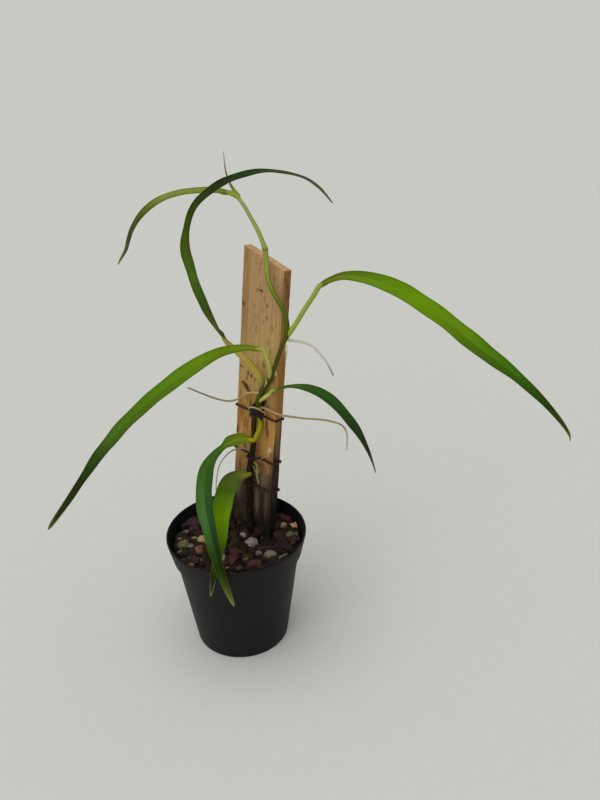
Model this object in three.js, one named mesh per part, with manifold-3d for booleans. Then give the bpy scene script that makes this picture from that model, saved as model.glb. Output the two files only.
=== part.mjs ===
// A climbing philodendron with narrow leaves, tied to a bare wooden plank in a round nursery pot.
// Millimetres, +Z up. The origin is the centre of the pot's base, on the surface it stands on.
// X points right and Y away from the viewer, who sees the plant from the front and above.

import * as THREE from 'three';
import { mergeVertices } from 'three/addons/utils/BufferGeometryUtils.js';
import Module from 'manifold-3d';

const wasm = await Module();
wasm.setup();

// Driving dimensions

const GAP = 0.3; // clearance between two pieces that touch
const POT_HEIGHT = 80;
const RIM_RADIUS = 45; // a 9 cm pot is measured across its rim
const RIM_DEPTH = 15; // height of the stepped band under the lip
const RIM_FOOT_RADIUS = 42;
const BODY_TOP_RADIUS = 39.8;
const BASE_RADIUS = 30.5;
const POT_WALL = 1.3;
const FLOOR_THICKNESS = 1.5;
const FOOT_HEIGHT = 1.5; // the ring between foot and centre pad stands off the floor by this
const FOOT_INNER_RADIUS = 27;
const PAD_RADIUS = 14;
const DRAIN_HOLES = 8;
const DRAIN_RADIUS = 3.2;
const DRAIN_CIRCLE = 20.5;
const POT_SIDES = 40;

const MIX_LEVEL = 71; // the potting mix ends this high, below the lip
const MIX_SWELL = 0.8; // the surface wanders up and down by this much

const PLANK_WIDTH = 35;
const PLANK_THICKNESS = 6;
const PLANK_YAW = 45; // degrees that the right-hand edge is turned towards the viewer
const PLANK_LEAN = 7.6; // degrees that the top leans away
const PLANK_ANCHOR = [8.1, 15.7, 72]; // middle of its front face, at the level of the mix
const PLANK_ABOVE = 180.1; // exposed length at the middle
const PLANK_BURIED = 60.5;
const PLANK_TOP_RISE = 4.4; // the end is sawn askew: its left corner is this much above its middle

const TIE_RADIUS = 0.7;
const TIE_SLACK = 0.15;
const TIE_HEIGHTS = [32, 52, 81.5]; // along the plank, from the level of the mix

const BLADE_SECTIONS = 22;
const BLADE_MIDRIB = 1.1; // thickness along the midrib, at the leaf's base
const BLADE_EDGE = 0.4;
const BLADE_CUP = 0.07; // how far the edges rise above the midrib, as a share of the width

// Colours and finishes

const FINISHES = {
  pot: { color: 0x2c2d2e, roughness: 0.6 },
  mix: { color: 0x2e221d, roughness: 0.95 },
  bark: { color: 0x57343a, roughness: 0.9 },
  perlite: { color: 0xcfc8ba, roughness: 0.9 },
  pebble: { color: 0x7d7a52, roughness: 0.7 },
  wood: { color: 0x9a7650, roughness: 0.85 },
  wire: { color: 0x251a16, roughness: 0.5 },
  stem: { color: 0x55702c, roughness: 0.5 },
  petiole: { color: 0x9db04f, roughness: 0.45 },
  leaf: { color: 0x3f7a2a, roughness: 0.4 },
  aerial_root: { color: 0x9c8b60, roughness: 0.8 },
  feeder_root: { color: 0xc9b48c, roughness: 0.8 },
};

// Frame of the plank: across its face, out of its face, and along its length

const yaw = THREE.MathUtils.degToRad(PLANK_YAW);
const lean = THREE.MathUtils.degToRad(PLANK_LEAN);
const across = new THREE.Vector3(Math.cos(yaw), -Math.sin(yaw), 0);
const along = new THREE.Vector3(
  Math.sin(lean) * Math.sin(yaw),
  Math.sin(lean) * Math.cos(yaw),
  Math.cos(lean),
);
const outward = new THREE.Vector3().crossVectors(across, along);
const plankFrame = new THREE.Matrix4()
  .makeBasis(across, along, outward)
  .setPosition(...PLANK_ANCHOR);

// Small helpers

const potted = new THREE.Group();

function addPiece(name, finish, geometry) {
  const { color, roughness } = FINISHES[finish];
  const material = new THREE.MeshStandardMaterial({ color, roughness, metalness: 0 });
  const mesh = new THREE.Mesh(geometry, material);
  mesh.name = name;
  potted.add(mesh);
}

function weld(geometry) {
  const bare = geometry.clone();
  bare.deleteAttribute('normal');
  bare.deleteAttribute('uv');
  return mergeVertices(bare, 1e-4);
}

function toSolid(geometry) {
  const welded = weld(geometry);
  const vertProperties = new Float32Array(welded.attributes.position.array);
  const triVerts = new Uint32Array(welded.index.array);
  return new wasm.Manifold(new wasm.Mesh({ numProp: 3, vertProperties, triVerts }));
}

function toGeometry(solid) {
  const { vertProperties, triVerts } = solid.getMesh();
  const geometry = new THREE.BufferGeometry();
  geometry.setAttribute('position', new THREE.BufferAttribute(vertProperties, 3));
  geometry.setIndex(new THREE.BufferAttribute(triVerts, 1));
  geometry.computeVertexNormals();
  return geometry;
}

// Repeatable random numbers between -1 and 1
function makeDice(seed) {
  let state = seed;
  return () => {
    state = (state * 16807) % 2147483647;
    return (state / 2147483647) * 2 - 1;
  };
}

// Value at t of a broken line given as [t, value] pairs
function onBrokenLine(pairs, t) {
  const next = pairs.findIndex(([key]) => key >= t);
  if (next === -1) return pairs[pairs.length - 1][1];
  if (next === 0) return pairs[0][1];
  const [t0, v0] = pairs[next - 1];
  const [t1, v1] = pairs[next];
  return THREE.MathUtils.lerp(v0, v1, (t - t0) / (t1 - t0));
}

// A closed skin over a row of rings that all have the same number of points.
// Seen along the row, each ring runs anticlockwise about the direction of travel.
function skin(rings, loops = false) {
  const sides = rings[0].length;
  const positions = rings.flat().flatMap((point) => point.toArray());
  const indices = [];
  const bands = loops ? rings.length : rings.length - 1;
  for (let i = 0; i < bands; i++) {
    const near = i * sides;
    const far = ((i + 1) % rings.length) * sides;
    for (let k = 0; k < sides; k++) {
      const next = (k + 1) % sides;
      indices.push(near + k, near + next, far + next);
      indices.push(near + k, far + next, far + k);
    }
  }
  if (!loops) {
    capRing(rings[0], 0, positions, indices, false);
    capRing(rings[rings.length - 1], (rings.length - 1) * sides, positions, indices, true);
  }
  const geometry = new THREE.BufferGeometry();
  geometry.setAttribute('position', new THREE.Float32BufferAttribute(positions, 3));
  geometry.setIndex(indices);
  geometry.computeVertexNormals();
  return geometry;
}

function capRing(ring, first, positions, indices, atEnd) {
  const centre = new THREE.Vector3();
  ring.forEach((point) => centre.addScaledVector(point, 1 / ring.length));
  const hub = positions.length / 3;
  positions.push(...centre.toArray());
  for (let k = 0; k < ring.length; k++) {
    const next = (k + 1) % ring.length;
    if (atEnd) indices.push(hub, first + k, first + next);
    else indices.push(hub, first + next, first + k);
  }
}

function curveThrough(points, loops = false) {
  const vectors = points.map(([x, y, z]) => new THREE.Vector3(x, y, z));
  return new THREE.CatmullRomCurve3(vectors, loops, 'centripetal');
}

// A round stem, root or wire along a smooth curve. radii holds one radius, or one for each point.
function taperedTube(points, radii, { sides = 8, steps = 3, loops = false, grow = 0 } = {}) {
  const curve = curveThrough(points, loops);
  const spans = loops ? points.length : points.length - 1;
  const count = spans * steps;
  const radiusAt = (t) => {
    if (typeof radii === 'number') return radii + grow;
    const place = t * spans;
    const low = Math.min(Math.floor(place), spans - 1);
    return THREE.MathUtils.lerp(radii[low], radii[low + 1], place - low) + grow;
  };
  const rings = [];
  const side = new THREE.Vector3(1, 0.3, 0.1);
  for (let i = 0; i < (loops ? count : count + 1); i++) {
    const t = i / count;
    const centre = curve.getPoint(t);
    const travel = curve.getTangent(t);
    if (grow > 0 && !loops && i === 0) centre.addScaledVector(travel, -grow);
    if (grow > 0 && !loops && i === count) centre.addScaledVector(travel, grow);
    side.addScaledVector(travel, -side.dot(travel)).normalize();
    const up = new THREE.Vector3().crossVectors(travel, side);
    const ring = [];
    for (let k = 0; k < sides; k++) {
      const angle = (2 * Math.PI * k) / sides;
      ring.push(
        centre
          .clone()
          .addScaledVector(side, Math.cos(angle) * radiusAt(t))
          .addScaledVector(up, Math.sin(angle) * radiusAt(t)),
      );
    }
    rings.push(ring);
  }
  return skin(rings, loops);
}

// Pot: one moulded shell with a stepped rim, a foot ring, a centre pad and a ring of drain holes

const innerFloor = FOOT_HEIGHT + FLOOR_THICKNESS;
const stepHeight = POT_HEIGHT - RIM_DEPTH;
const innerBaseRadius = BASE_RADIUS - POT_WALL + 0.4; // the wall thins towards the base
const innerTopRadius = BODY_TOP_RADIUS - POT_WALL;
const innerRimFoot = RIM_FOOT_RADIUS - POT_WALL;
const innerRimTop = RIM_RADIUS - POT_WALL;
const SHELF_SPREAD = 1.5; // the step's inside slopes from this far above its outside to near it below
const shelfTop = stepHeight + SHELF_SPREAD;
const shelfFoot = stepHeight - SHELF_SPREAD / 3;

function potProfile() {
  return [
    [0, 0],
    [PAD_RADIUS, 0],
    [PAD_RADIUS + 1, FOOT_HEIGHT],
    [FOOT_INNER_RADIUS - 1, FOOT_HEIGHT],
    [FOOT_INNER_RADIUS, 0],
    [BASE_RADIUS - 0.8, 0],
    [BASE_RADIUS, 1],
    [BODY_TOP_RADIUS, stepHeight - 0.8],
    [RIM_FOOT_RADIUS - 0.5, stepHeight],
    [RIM_FOOT_RADIUS, stepHeight + 0.8],
    [RIM_RADIUS, POT_HEIGHT - 1],
    [RIM_RADIUS - 0.5, POT_HEIGHT],
    [innerRimTop + 0.3, POT_HEIGHT],
    [innerRimTop, POT_HEIGHT - 0.8],
    [innerRimFoot, shelfTop],
    [innerTopRadius, shelfFoot],
    [innerBaseRadius, innerFloor],
    [0, innerFloor],
  ].map(([radius, height]) => new THREE.Vector2(radius, height));
}

// A lathe turns about Y, so it is stood up along Z
function turned(profile, sides) {
  return new THREE.LatheGeometry(profile, sides).rotateX(Math.PI / 2);
}

function makePot() {
  let pot = toSolid(turned(potProfile(), POT_SIDES));
  for (let i = 0; i < DRAIN_HOLES; i++) {
    const angle = (2 * Math.PI * i) / DRAIN_HOLES;
    const hole = new THREE.CylinderGeometry(DRAIN_RADIUS, DRAIN_RADIUS, 10, 12)
      .rotateX(Math.PI / 2)
      .translate(DRAIN_CIRCLE * Math.cos(angle), DRAIN_CIRCLE * Math.sin(angle), innerFloor);
    pot = pot.subtract(toSolid(hole));
  }
  return toGeometry(pot);
}

// Plank: sawn softwood with a skewed top end and a small chip out of its right edge

const CHIP_HEIGHT = 124;
const CHIP_LENGTH = 10;
const CHIP_DEPTH = 0.9;

function plankOutline(grow) {
  const half = PLANK_WIDTH / 2 + grow;
  const slope = PLANK_TOP_RISE / (PLANK_WIDTH / 2);
  const outline = new THREE.Shape();
  outline.moveTo(-half, -PLANK_BURIED - grow);
  outline.lineTo(half, -PLANK_BURIED - grow);
  outline.lineTo(half, CHIP_HEIGHT);
  outline.lineTo(half - CHIP_DEPTH, CHIP_HEIGHT + 2);
  outline.lineTo(half - CHIP_DEPTH, CHIP_HEIGHT + CHIP_LENGTH - 3);
  outline.lineTo(half, CHIP_HEIGHT + CHIP_LENGTH);
  outline.lineTo(half, PLANK_ABOVE - slope * half + grow);
  outline.lineTo(-half, PLANK_ABOVE + slope * half + grow);
  return outline;
}

function makePlank(grow = 0) {
  return new THREE.ExtrudeGeometry(plankOutline(grow), {
    depth: PLANK_THICKNESS + 2 * grow,
    bevelEnabled: false,
  })
    .translate(0, 0, -PLANK_THICKNESS - grow)
    .applyMatrix4(plankFrame);
}

// Stem: old dark wood at the foot, which climbs the plank's face, leans out past its right
// edge, and comes back over its top to the growing point

const STEM_ROUTE = [
  [4.6, 8.2, 38],
  [6.2, 9.8, 53],
  [7.9, 11.5, 71.5],
  [8.9, 14.5, 93],
  [9, 17.3, 108],
  [11.2, 17.5, 121.5],
  [13.5, 17.9, 135.7],
  [14.3, 19.7, 149.2],
  [17.9, 18.1, 162.4],
  [20.7, 17, 171.4],
  [25.6, 13.9, 179.9],
  [28.8, 11.1, 188.5],
  [31.7, 8.6, 197.3],
  [34.3, 6.1, 205.3],
  [37, 4.7, 212],
  [37.5, 5.4, 218.3],
  [36.6, 8.4, 223.4],
  [34.3, 11.7, 227.9],
  [31.4, 15.2, 232.1],
  [28.7, 19, 236.7],
  [27, 22, 243],
  [26.7, 23.6, 250.5],
  [26.2, 24.3, 258],
  [24.6, 25.4, 263],
  [22, 27.8, 269],
  [18.1, 32.6, 275.3],
  [14.2, 37.6, 281],
  [10.8, 41.8, 284.8],
];
// Radius at each share of the route
const STEM_THICKEST = 2.3;
const STEM_RADII = [
  [0, 2.2],
  [0.1, STEM_THICKEST],
  [0.148, 2.2],
  [0.185, 2.1],
  [0.215, 1.45],
  [0.25, 1.5],
  [0.285, 2.2],
  [0.333, 1.9],
  [0.365, 1.9],
  [0.4, 1.35],
  [0.5, 1.35],
  [0.53, 1.6],
  [0.57, 1.35],
  [0.8, 1.45],
  [0.82, 1.55],
  [0.85, 1.25],
  [1, 1.05],
];
const stemRadii = STEM_ROUTE.map((point, i) => onBrokenLine(STEM_RADII, i / (STEM_ROUTE.length - 1)));

function makeStem(grow = 0) {
  return taperedTube(STEM_ROUTE, stemRadii, { steps: 2, grow });
}

// Leaves. Each has a stalk, whose route starts inside the stem, and a blade.
// midrib: points from the blade's foot to its tip. face: where the upper side looks, evenly
// spaced from foot to tip. outline: share of the widest width at each share of the length.

const LEAVES = {
  right_high: {
    stalk: [[37, 4.9, 211], [42.4, 4, 219.1], [47.1, 2.6, 227.7], [52.6, 1.2, 237.4]],
    stalkRadii: [1.6, 1.4, 1.4, 1.4, 1.5, 1.5],
    stalkLead: 1.2,
    width: 12.5,
    midrib: [[56.5, 0, 243.9], [60.1, -1, 246.3], [71, -3, 249.5], [92.5, -8, 246.5], [117, -14, 233],
      [142, -20, 213.5], [167, -26, 194], [186.5, -29, 174], [197.5, -30, 158.5]],
    face: [[-0.6, -0.6, 0.4], [0.2, -0.6, 0.8], [0.4, -0.7, 0.6], [0.4, -0.7, 0.6], [0.5, -0.8, 0.4]],
    outline: [[0, 0.26], [0.06, 0.46], [0.15, 0.66], [0.3, 0.9], [0.5, 1], [0.6, 0.98], [0.7, 0.8],
      [0.82, 0.6], [0.92, 0.36], [0.98, 0.16], [1, 0.06]],
  },
  left_long: {
    stalk: [[25.6, 13.9, 180.2], [26.2, 11, 187.5], [25.2, 9.8, 194.2]],
    stalkRadii: [1.6, 1.3, 1.2, 1.4, 1.4],
    width: 12,
    midrib: [[20.3, 9.8, 201.8], [11, 8, 203.6], [-3.5, 4, 202.5], [-24.5, -3, 193], [-55, -11, 171.5],
      [-77.5, -17, 148.5], [-96.5, -21, 122], [-112.5, -23, 100.5]],
    face: [[0.3, -0.5, 0.8], [-0.3, -0.6, 0.7], [-0.5, -0.7, 0.5], [-0.5, -0.7, 0.4]],
    outline: [[0, 0.26], [0.06, 0.44], [0.15, 0.62], [0.25, 0.9], [0.4, 1], [0.52, 1], [0.65, 0.84],
      [0.78, 0.56], [0.9, 0.36], [0.97, 0.2], [1, 0.06]],
  },
  arching: {
    stalk: [[21, 16.9, 171.8], [20.4, 15.8, 177.3], [18.6, 16.4, 181.8], [12.7, 19.8, 189],
      [6.8, 23, 194.6], [2.3, 23.4, 199]],
    stalkRadii: [1.7, 1.6, 1.5, 1.5, 1.5, 1.3, 1.4, 1.4],
    width: 9.5,
    midrib: [[-1, 21, 205], [-6.5, 16, 218.5], [-13.5, 8, 242.5], [-16.5, 1, 271], [-12.5, 2, 289],
      [-2.5, 9, 297], [10.5, 20, 301], [28, 34, 300], [49.5, 48, 292.5], [58.5, 53, 285.5], [67, 58, 275]],
    face: [[-0.4, -0.8, -0.5], [-0.6, -0.7, -0.3], [-0.2, -0.4, 0.9], [0.4, -0.3, 0.8], [0.8, -0.4, 0.4]],
    outline: [[0, 0.34], [0.06, 0.6], [0.15, 0.88], [0.28, 1], [0.38, 0.88], [0.48, 0.76], [0.6, 0.76],
      [0.7, 0.62], [0.82, 0.46], [0.93, 0.3], [1, 0.08]],
  },
  right_short: {
    stalk: [[17.5, 18.1, 161.6], [22, 13.5, 167.9], [25.5, 11.8, 171.5]],
    stalkRadii: [1.5, 1.3, 1.1, 1.1, 1.1],
    width: 8,
    midrib: [[28.6, 10.7, 174], [35.5, 9, 177], [44, 7, 177.5], [55.5, 3, 175.5], [66, -1, 168.5],
      [76, -4, 156], [83, -6, 140.5], [88, -7, 124]],
    face: [[-0.2, -0.2, 1], [0.5, -0.3, 0.8], [0.8, -0.5, 0.4], [0.8, -0.6, 0.3]],
    outline: [[0, 0.32], [0.1, 0.38], [0.2, 0.52], [0.33, 0.9], [0.48, 1], [0.65, 0.86], [0.78, 0.6],
      [0.9, 0.36], [0.96, 0.18], [1, 0.08]],
  },
  front_long: {
    stalk: [[14.2, 19.6, 148.2], [18.5, 15.8, 149.7], [18.6, 14, 146.6], [16.6, 13.2, 142.8]],
    stalkRadii: [1.3, 1.5, 1.6, 1.6, 1.6, 1.6],
    stalkLead: 2,
    width: 11.5,
    midrib: [[12, 12.8, 138.8], [6, 10, 141.5], [-0.5, 5, 142.5], [-8, -3, 139.5], [-13.5, -11, 134.5],
      [-15.5, -21, 127.5], [-14.5, -31, 118.5], [-11.5, -39, 108], [-9, -46, 99], [-6.5, -50, 87.5],
      [-3, -52, 74], [0.5, -53, 62]],
    face: [[0.5, -0.3, 0.8], [-0.3, -0.3, 0.9], [-0.4, -0.7, 0.6], [-0.4, -0.9, 0.2], [-0.3, -1, 0]],
    outline: [[0, 0.4], [0.07, 0.85], [0.15, 0.92], [0.3, 0.95], [0.42, 1], [0.55, 0.95], [0.65, 0.85],
      [0.76, 0.66], [0.88, 0.5], [0.96, 0.34], [1, 0.12]],
  },
  front_low: {
    stalk: [[9.3, 17.2, 110]],
    stalkRadii: [1.5, 1.5, 1.5],
    stalkLead: 1.2,
    width: 14,
    midrib: [[8.8, 13.6, 113.2], [4, 11, 114], [-1, 5, 115], [-3.5, -2, 114], [-5, -11, 112.5],
      [-5.5, -20, 110.5], [-6, -27, 106.5], [-6, -33, 102], [-7, -39, 97], [-8.5, -43.5, 89.5],
      [-11, -47, 80], [-13.5, -50, 67.5]],
    face: [[0.4, -0.4, 0.8], [-0.3, -0.2, 1], [-0.4, -0.7, 0.6], [-0.4, -0.9, 0.3]],
    outline: [[0, 0.28], [0.1, 0.7], [0.22, 0.96], [0.34, 1], [0.5, 0.86], [0.62, 0.72], [0.74, 0.56],
      [0.86, 0.42], [0.95, 0.3], [1, 0.12]],
  },
  top: {
    stalk: [[11.3, 41.1, 284.3]],
    stalkRadii: [0.95, 0.95, 1],
    stalkLead: 1.5,
    width: 7.5,
    midrib: [[6, 43.5, 286.5], [2, 45, 287], [-14, 50, 287], [-33, 56, 282], [-48.5, 60, 272],
      [-59.5, 63, 253.5], [-68, 64, 239]],
    face: [[0, -0.4, 0.9], [-0.3, -0.5, 0.8], [-0.7, -0.7, 0.3], [-0.6, -0.7, 0.3]],
    outline: [[0, 0.35], [0.08, 0.6], [0.25, 0.95], [0.45, 1], [0.6, 0.9], [0.75, 0.66], [0.88, 0.4],
      [0.96, 0.2], [1, 0.08]],
  },
};
const STALK_LEAD = 2.5; // the last stretch of a stalk runs in line with its blade

function makeStalk({ stalk, stalkRadii, stalkLead = STALK_LEAD, midrib }, grow = 0) {
  const blade = curveThrough(midrib);
  const foot = blade.getPoint(0);
  const travel = blade.getTangent(0);
  const behind = (distance) => foot.clone().addScaledVector(travel, -distance).toArray();
  return toSolid(taperedTube([...stalk, behind(stalkLead), behind(GAP)], stalkRadii, { grow }));
}

function faceAt(face, t) {
  const place = t * (face.length - 1);
  const low = Math.min(Math.floor(place), face.length - 2);
  const here = new THREE.Vector3(...face[low]);
  return here.lerp(new THREE.Vector3(...face[low + 1]), place - low);
}

// The blade's section: thick at the midrib, thin at the edges, with the edges a little raised
function bladeSection(centre, upper, side, width, thickness) {
  const half = width / 2;
  const edge = Math.min(BLADE_EDGE, thickness) / 2;
  const rise = BLADE_CUP * width;
  const corners = [
    [-half, rise - edge],
    [-half * 0.5, rise * 0.3 - thickness * 0.4],
    [0, -thickness * 0.7],
    [half * 0.5, rise * 0.3 - thickness * 0.4],
    [half, rise - edge],
    [half, rise + edge],
    [half * 0.5, rise * 0.3 + thickness * 0.3],
    [0, thickness * 0.3],
    [-half * 0.5, rise * 0.3 + thickness * 0.3],
    [-half, rise + edge],
  ];
  return corners.map(([x, y]) => centre.clone().addScaledVector(side, x).addScaledVector(upper, y));
}

function makeBlade({ width, midrib, face, outline }) {
  const curve = curveThrough(midrib);
  const rings = [];
  for (let i = 0; i <= BLADE_SECTIONS; i++) {
    const t = i / BLADE_SECTIONS;
    const centre = curve.getPointAt(t);
    const travel = curve.getTangentAt(t);
    const upper = faceAt(face, t);
    upper.addScaledVector(travel, -upper.dot(travel)).normalize();
    const side = new THREE.Vector3().crossVectors(upper, travel);
    const thickness = THREE.MathUtils.lerp(BLADE_MIDRIB, BLADE_MIDRIB * 0.5, t);
    rings.push(bladeSection(centre, upper, side, width * onBrokenLine(outline, t), thickness));
  }
  return skin(rings);
}

// A rolled young leaf that stands up from the growing point
const NEW_LEAF = {
  route: [[11.4, 41.9, 284.6], [10.3, 42.7, 286.6], [8.3, 44, 289.2], [6.5, 45.5, 292.6],
    [5, 46.6, 297.1], [4.4, 47.5, 301.6], [4.3, 48, 307]],
  radii: [1.2, 1.1, 0.8, 0.55, 0.45, 0.38, 0.25],
};

// Roots that grow from the stem into the air, and roots that spread through the mix

const AERIAL_ROOTS = {
  aerial_root_left: {
    route: [[19.8, 17.4, 168.5], [14.8, 20.4, 168.2], [10.6, 23.8, 165.9], [5.5, 26.2, 161.6],
      [-0.4, 26, 160], [-9.2, 22, 164.2], [-17.7, 18, 170.4], [-24.3, 14, 175.9]],
    radii: [0.8, 0.8, 0.75, 0.7, 0.65, 0.6, 0.55, 0.4],
  },
  aerial_root_right: {
    route: [[16.8, 18.5, 158.5], [21.9, 14.4, 160.1], [25.8, 11, 159.6], [31.5, 5, 160], [43.3, 3, 158.6],
      [61, -1, 158], [69, -3, 155.2], [71.2, -4, 150], [71, -5, 139.6]],
    radii: [0.8, 0.75, 0.7, 0.7, 0.6, 0.55, 0.5, 0.45, 0.35],
  },
  aerial_root_upper: {
    route: [[36.4, 4.9, 209.1], [44.6, 2, 209], [51.4, -2, 207.8], [57, -5, 202.6], [60.8, -7, 197],
      [63, -8, 191.8]],
    radii: [0.8, 0.7, 0.65, 0.6, 0.6, 0.45],
  },
  aerial_root_back_left: {
    route: [[12.2, 17.7, 128], [6.1, 22, 127.7], [1, 20.5, 128], [-3.9, 16, 127], [-8.6, 11, 122.4],
      [-10.9, 7, 113.8], [-11.6, 5.2, 107.5]],
    radii: [0.6, 0.55, 0.5, 0.45, 0.4, 0.35, 0.3],
  },
  aerial_root_wrap: {
    route: [[16.4, 18.8, 156], [12.6, 18.4, 158.6], [14.2, 14.6, 160.9], [18, 13.2, 160.2],
      [21.4, 13.4, 157.2]],
    radii: [0.6, 0.6, 0.55, 0.5, 0.35],
  },
  aerial_root_down: {
    route: [[11, 17.5, 120.2], [13.8, 15.6, 120.4], [15, 15.1, 117.8], [14.5, 14.8, 113.6],
      [14.7, 14, 109.3], [15.4, 13, 106.2]],
    radii: [0.7, 0.65, 0.6, 0.6, 0.5, 0.4],
  },
  aerial_root_edge: {
    route: [[35.8, 5.3, 206.6], [36.9, 5.1, 204.4], [36.6, 5.4, 201.2], [36.1, 6.2, 197.4]],
    radii: [0.6, 0.55, 0.5, 0.35],
  },
};

const FEEDER_ROOTS = {
  feeder_root_left: {
    route: [[5.5, 9.1, 47], [-4, 3, 39], [-14, -4, 24], [-21, -6, 14], [-16, 3, 8]],
    radii: [1.2, 1.1, 0.9, 0.7, 0.4],
  },
  feeder_root_right: {
    route: [[6, 9.6, 51], [10, -3, 42], [17, -12, 25], [19, -14, 13], [11, -18, 8]],
    radii: [1.2, 1.1, 0.9, 0.7, 0.4],
  },
  feeder_root_front: {
    route: [[4.7, 8.3, 39.5], [1, -6, 32], [-2, -19, 22], [-6, -22, 11]],
    radii: [1.2, 1, 0.8, 0.4],
  },
};

// Bark, pebbles and perlite that lie half sunk in the top of the mix.
// place: x, y. size: length, breadth, height. turn: degrees. facets: 0 is angular, 1 is rounder.

const TOP_DRESSING = {
  bark_purple: { finish: 'bark', place: [-30, 21], size: [12, 9, 4.5], turn: -40, facets: 0 },
  bark_dark_red: { finish: 'bark', place: [-1, -13], size: [7.5, 6, 5], turn: 20, facets: 0 },
  bark_crimson: { finish: 'bark', place: [-2.5, -22.5], size: [6.5, 4.5, 4], turn: 70, facets: 0 },
  bark_pink_brown: { finish: 'bark', place: [12, -26], size: [9.5, 6.5, 4.5], turn: 10, facets: 0 },
  bark_red_purple: { finish: 'bark', place: [31.4, 22], size: [9, 6, 5], turn: -35, facets: 0 },
  bark_peach: { finish: 'bark', place: [35.2, 14], size: [7.5, 4, 4.6], turn: 10, facets: 0 },
  bark_plum: { finish: 'bark', place: [31, -7], size: [9, 6, 4.5], turn: 75, facets: 0 },
  bark_grey_brown: { finish: 'bark', place: [-27.5, -19], size: [7, 5.5, 4], turn: 35, facets: 0 },
  bark_dark_middle: { finish: 'bark', place: [20, -4], size: [9, 6.5, 4], turn: -20, facets: 0 },
  bark_dark_left: { finish: 'bark', place: [-14, 8], size: [10, 7, 4.5], turn: 15, facets: 0 },
  bark_dark_inner: { finish: 'bark', place: [-10, -7], size: [9, 6, 4], turn: -60, facets: 0 },
  bark_back: { finish: 'bark', place: [-15, 27], size: [11, 7, 4.5], turn: 30, facets: 0 },
  bark_back_right: { finish: 'bark', place: [17, 33], size: [10, 7, 4.5], turn: -10, facets: 0 },
  pebble_orange: { finish: 'pebble', place: [-23.6, -10.4], size: [6, 7.5, 6], turn: 15, facets: 1 },
  pebble_pink: { finish: 'pebble', place: [-34, 9.5], size: [5, 4.5, 4.5], turn: 0, facets: 1 },
  pebble_olive_left: { finish: 'pebble', place: [-34, -4.6], size: [8, 6.5, 5.5], turn: 30, facets: 1 },
  pebble_olive_right: { finish: 'pebble', place: [34.6, 3], size: [7, 6, 5], turn: 60, facets: 1 },
  perlite_small: { finish: 'perlite', place: [3.7, 4], size: [4, 3.5, 4], turn: 0, facets: 1 },
  perlite_large: { finish: 'perlite', place: [9.5, -4.5], size: [8, 7, 6], turn: 40, facets: 1 },
  perlite_pair: { finish: 'perlite', place: [22, -17], size: [8.5, 7, 5.5], turn: -20, facets: 1 },
  perlite_bead: { finish: 'perlite', place: [14.5, -14.5], size: [4.5, 3.5, 3.5], turn: 0, facets: 1 },
  perlite_long: { finish: 'perlite', place: [-8.1, -18], size: [3.6, 7, 5], turn: 10, facets: 1 },
  perlite_right: { finish: 'perlite', place: [28.8, 15], size: [4.6, 4, 4], turn: 30, facets: 1 },
  perlite_back: { finish: 'perlite', place: [-23, 0], size: [5.4, 4.6, 6.5], turn: -30, facets: 1 },
};
const CHIP_SUNK = 0.35; // share of its height by which a chip's middle lies below the mix's top
const CHIP_ROUGHNESS = 0.12;

function makeChip({ place, size, turn, facets }, seed, grow = 0) {
  const dice = makeDice(seed);
  const chip = weld(new THREE.IcosahedronGeometry(0.5, facets));
  const points = chip.attributes.position;
  for (let i = 0; i < points.count; i++) {
    const stretch = 1 + CHIP_ROUGHNESS * dice();
    points.setXYZ(i, points.getX(i) * stretch, points.getY(i) * stretch, points.getZ(i) * stretch);
  }
  const [length, breadth, height] = size;
  chip.scale(length + 2 * grow, breadth + 2 * grow, height + 2 * grow);
  chip.rotateZ(THREE.MathUtils.degToRad(turn));
  chip.translate(place[0], place[1], MIX_LEVEL + height * (0.5 - CHIP_SUNK));
  return chip;
}

// Potting mix: a settled bed that fills the pot to below its lip, with a pocket for everything
// that stands or lies in it

const MIX_RINGS = 3;

function mixSurface(radius, angle) {
  const waves = Math.sin(radius * 0.21 + 2 * angle) + Math.cos(radius * 0.13 - 3 * angle);
  return MIX_LEVEL + 0.5 * MIX_SWELL * waves;
}

function makeMixBlock() {
  const inside = [
    [innerBaseRadius, innerFloor + GAP],
    [innerTopRadius, shelfFoot],
    [innerRimFoot, shelfTop],
  ];
  const topRadius = THREE.MathUtils.mapLinear(
    MIX_LEVEL, shelfTop, POT_HEIGHT - 0.8, innerRimFoot, innerRimTop,
  );
  const rings = [];
  const ring = (radius, heightAt) =>
    Array.from({ length: POT_SIDES }, (_, k) => {
      const angle = (2 * Math.PI * k) / POT_SIDES;
      return new THREE.Vector3(
        radius * Math.cos(angle), radius * Math.sin(angle), heightAt(radius, angle),
      );
    });
  for (const [radius, height] of inside) rings.push(ring(radius - GAP, () => height));
  rings.push(ring(topRadius - GAP - 0.1, () => MIX_LEVEL - MIX_SWELL));
  for (let i = MIX_RINGS; i > 0; i--) {
    rings.push(ring(((topRadius - 1.2) * i) / MIX_RINGS, mixSurface));
  }
  return toSolid(skin(rings));
}

function makeMix(pockets) {
  let mix = makeMixBlock();
  for (const pocket of pockets) mix = mix.subtract(pocket);
  return toGeometry(mix);
}

// Ties: a ring of coated wire round the plank and the stem at each of three heights

function stemBeside(height) {
  const curve = curveThrough(STEM_ROUTE);
  let best = null;
  for (let i = 0; i <= 400; i++) {
    const point = curve.getPoint(i / 400).applyMatrix4(plankFrame.clone().invert());
    if (!best || Math.abs(point.y - height) < Math.abs(best.y - height)) best = point;
  }
  return best;
}

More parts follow.
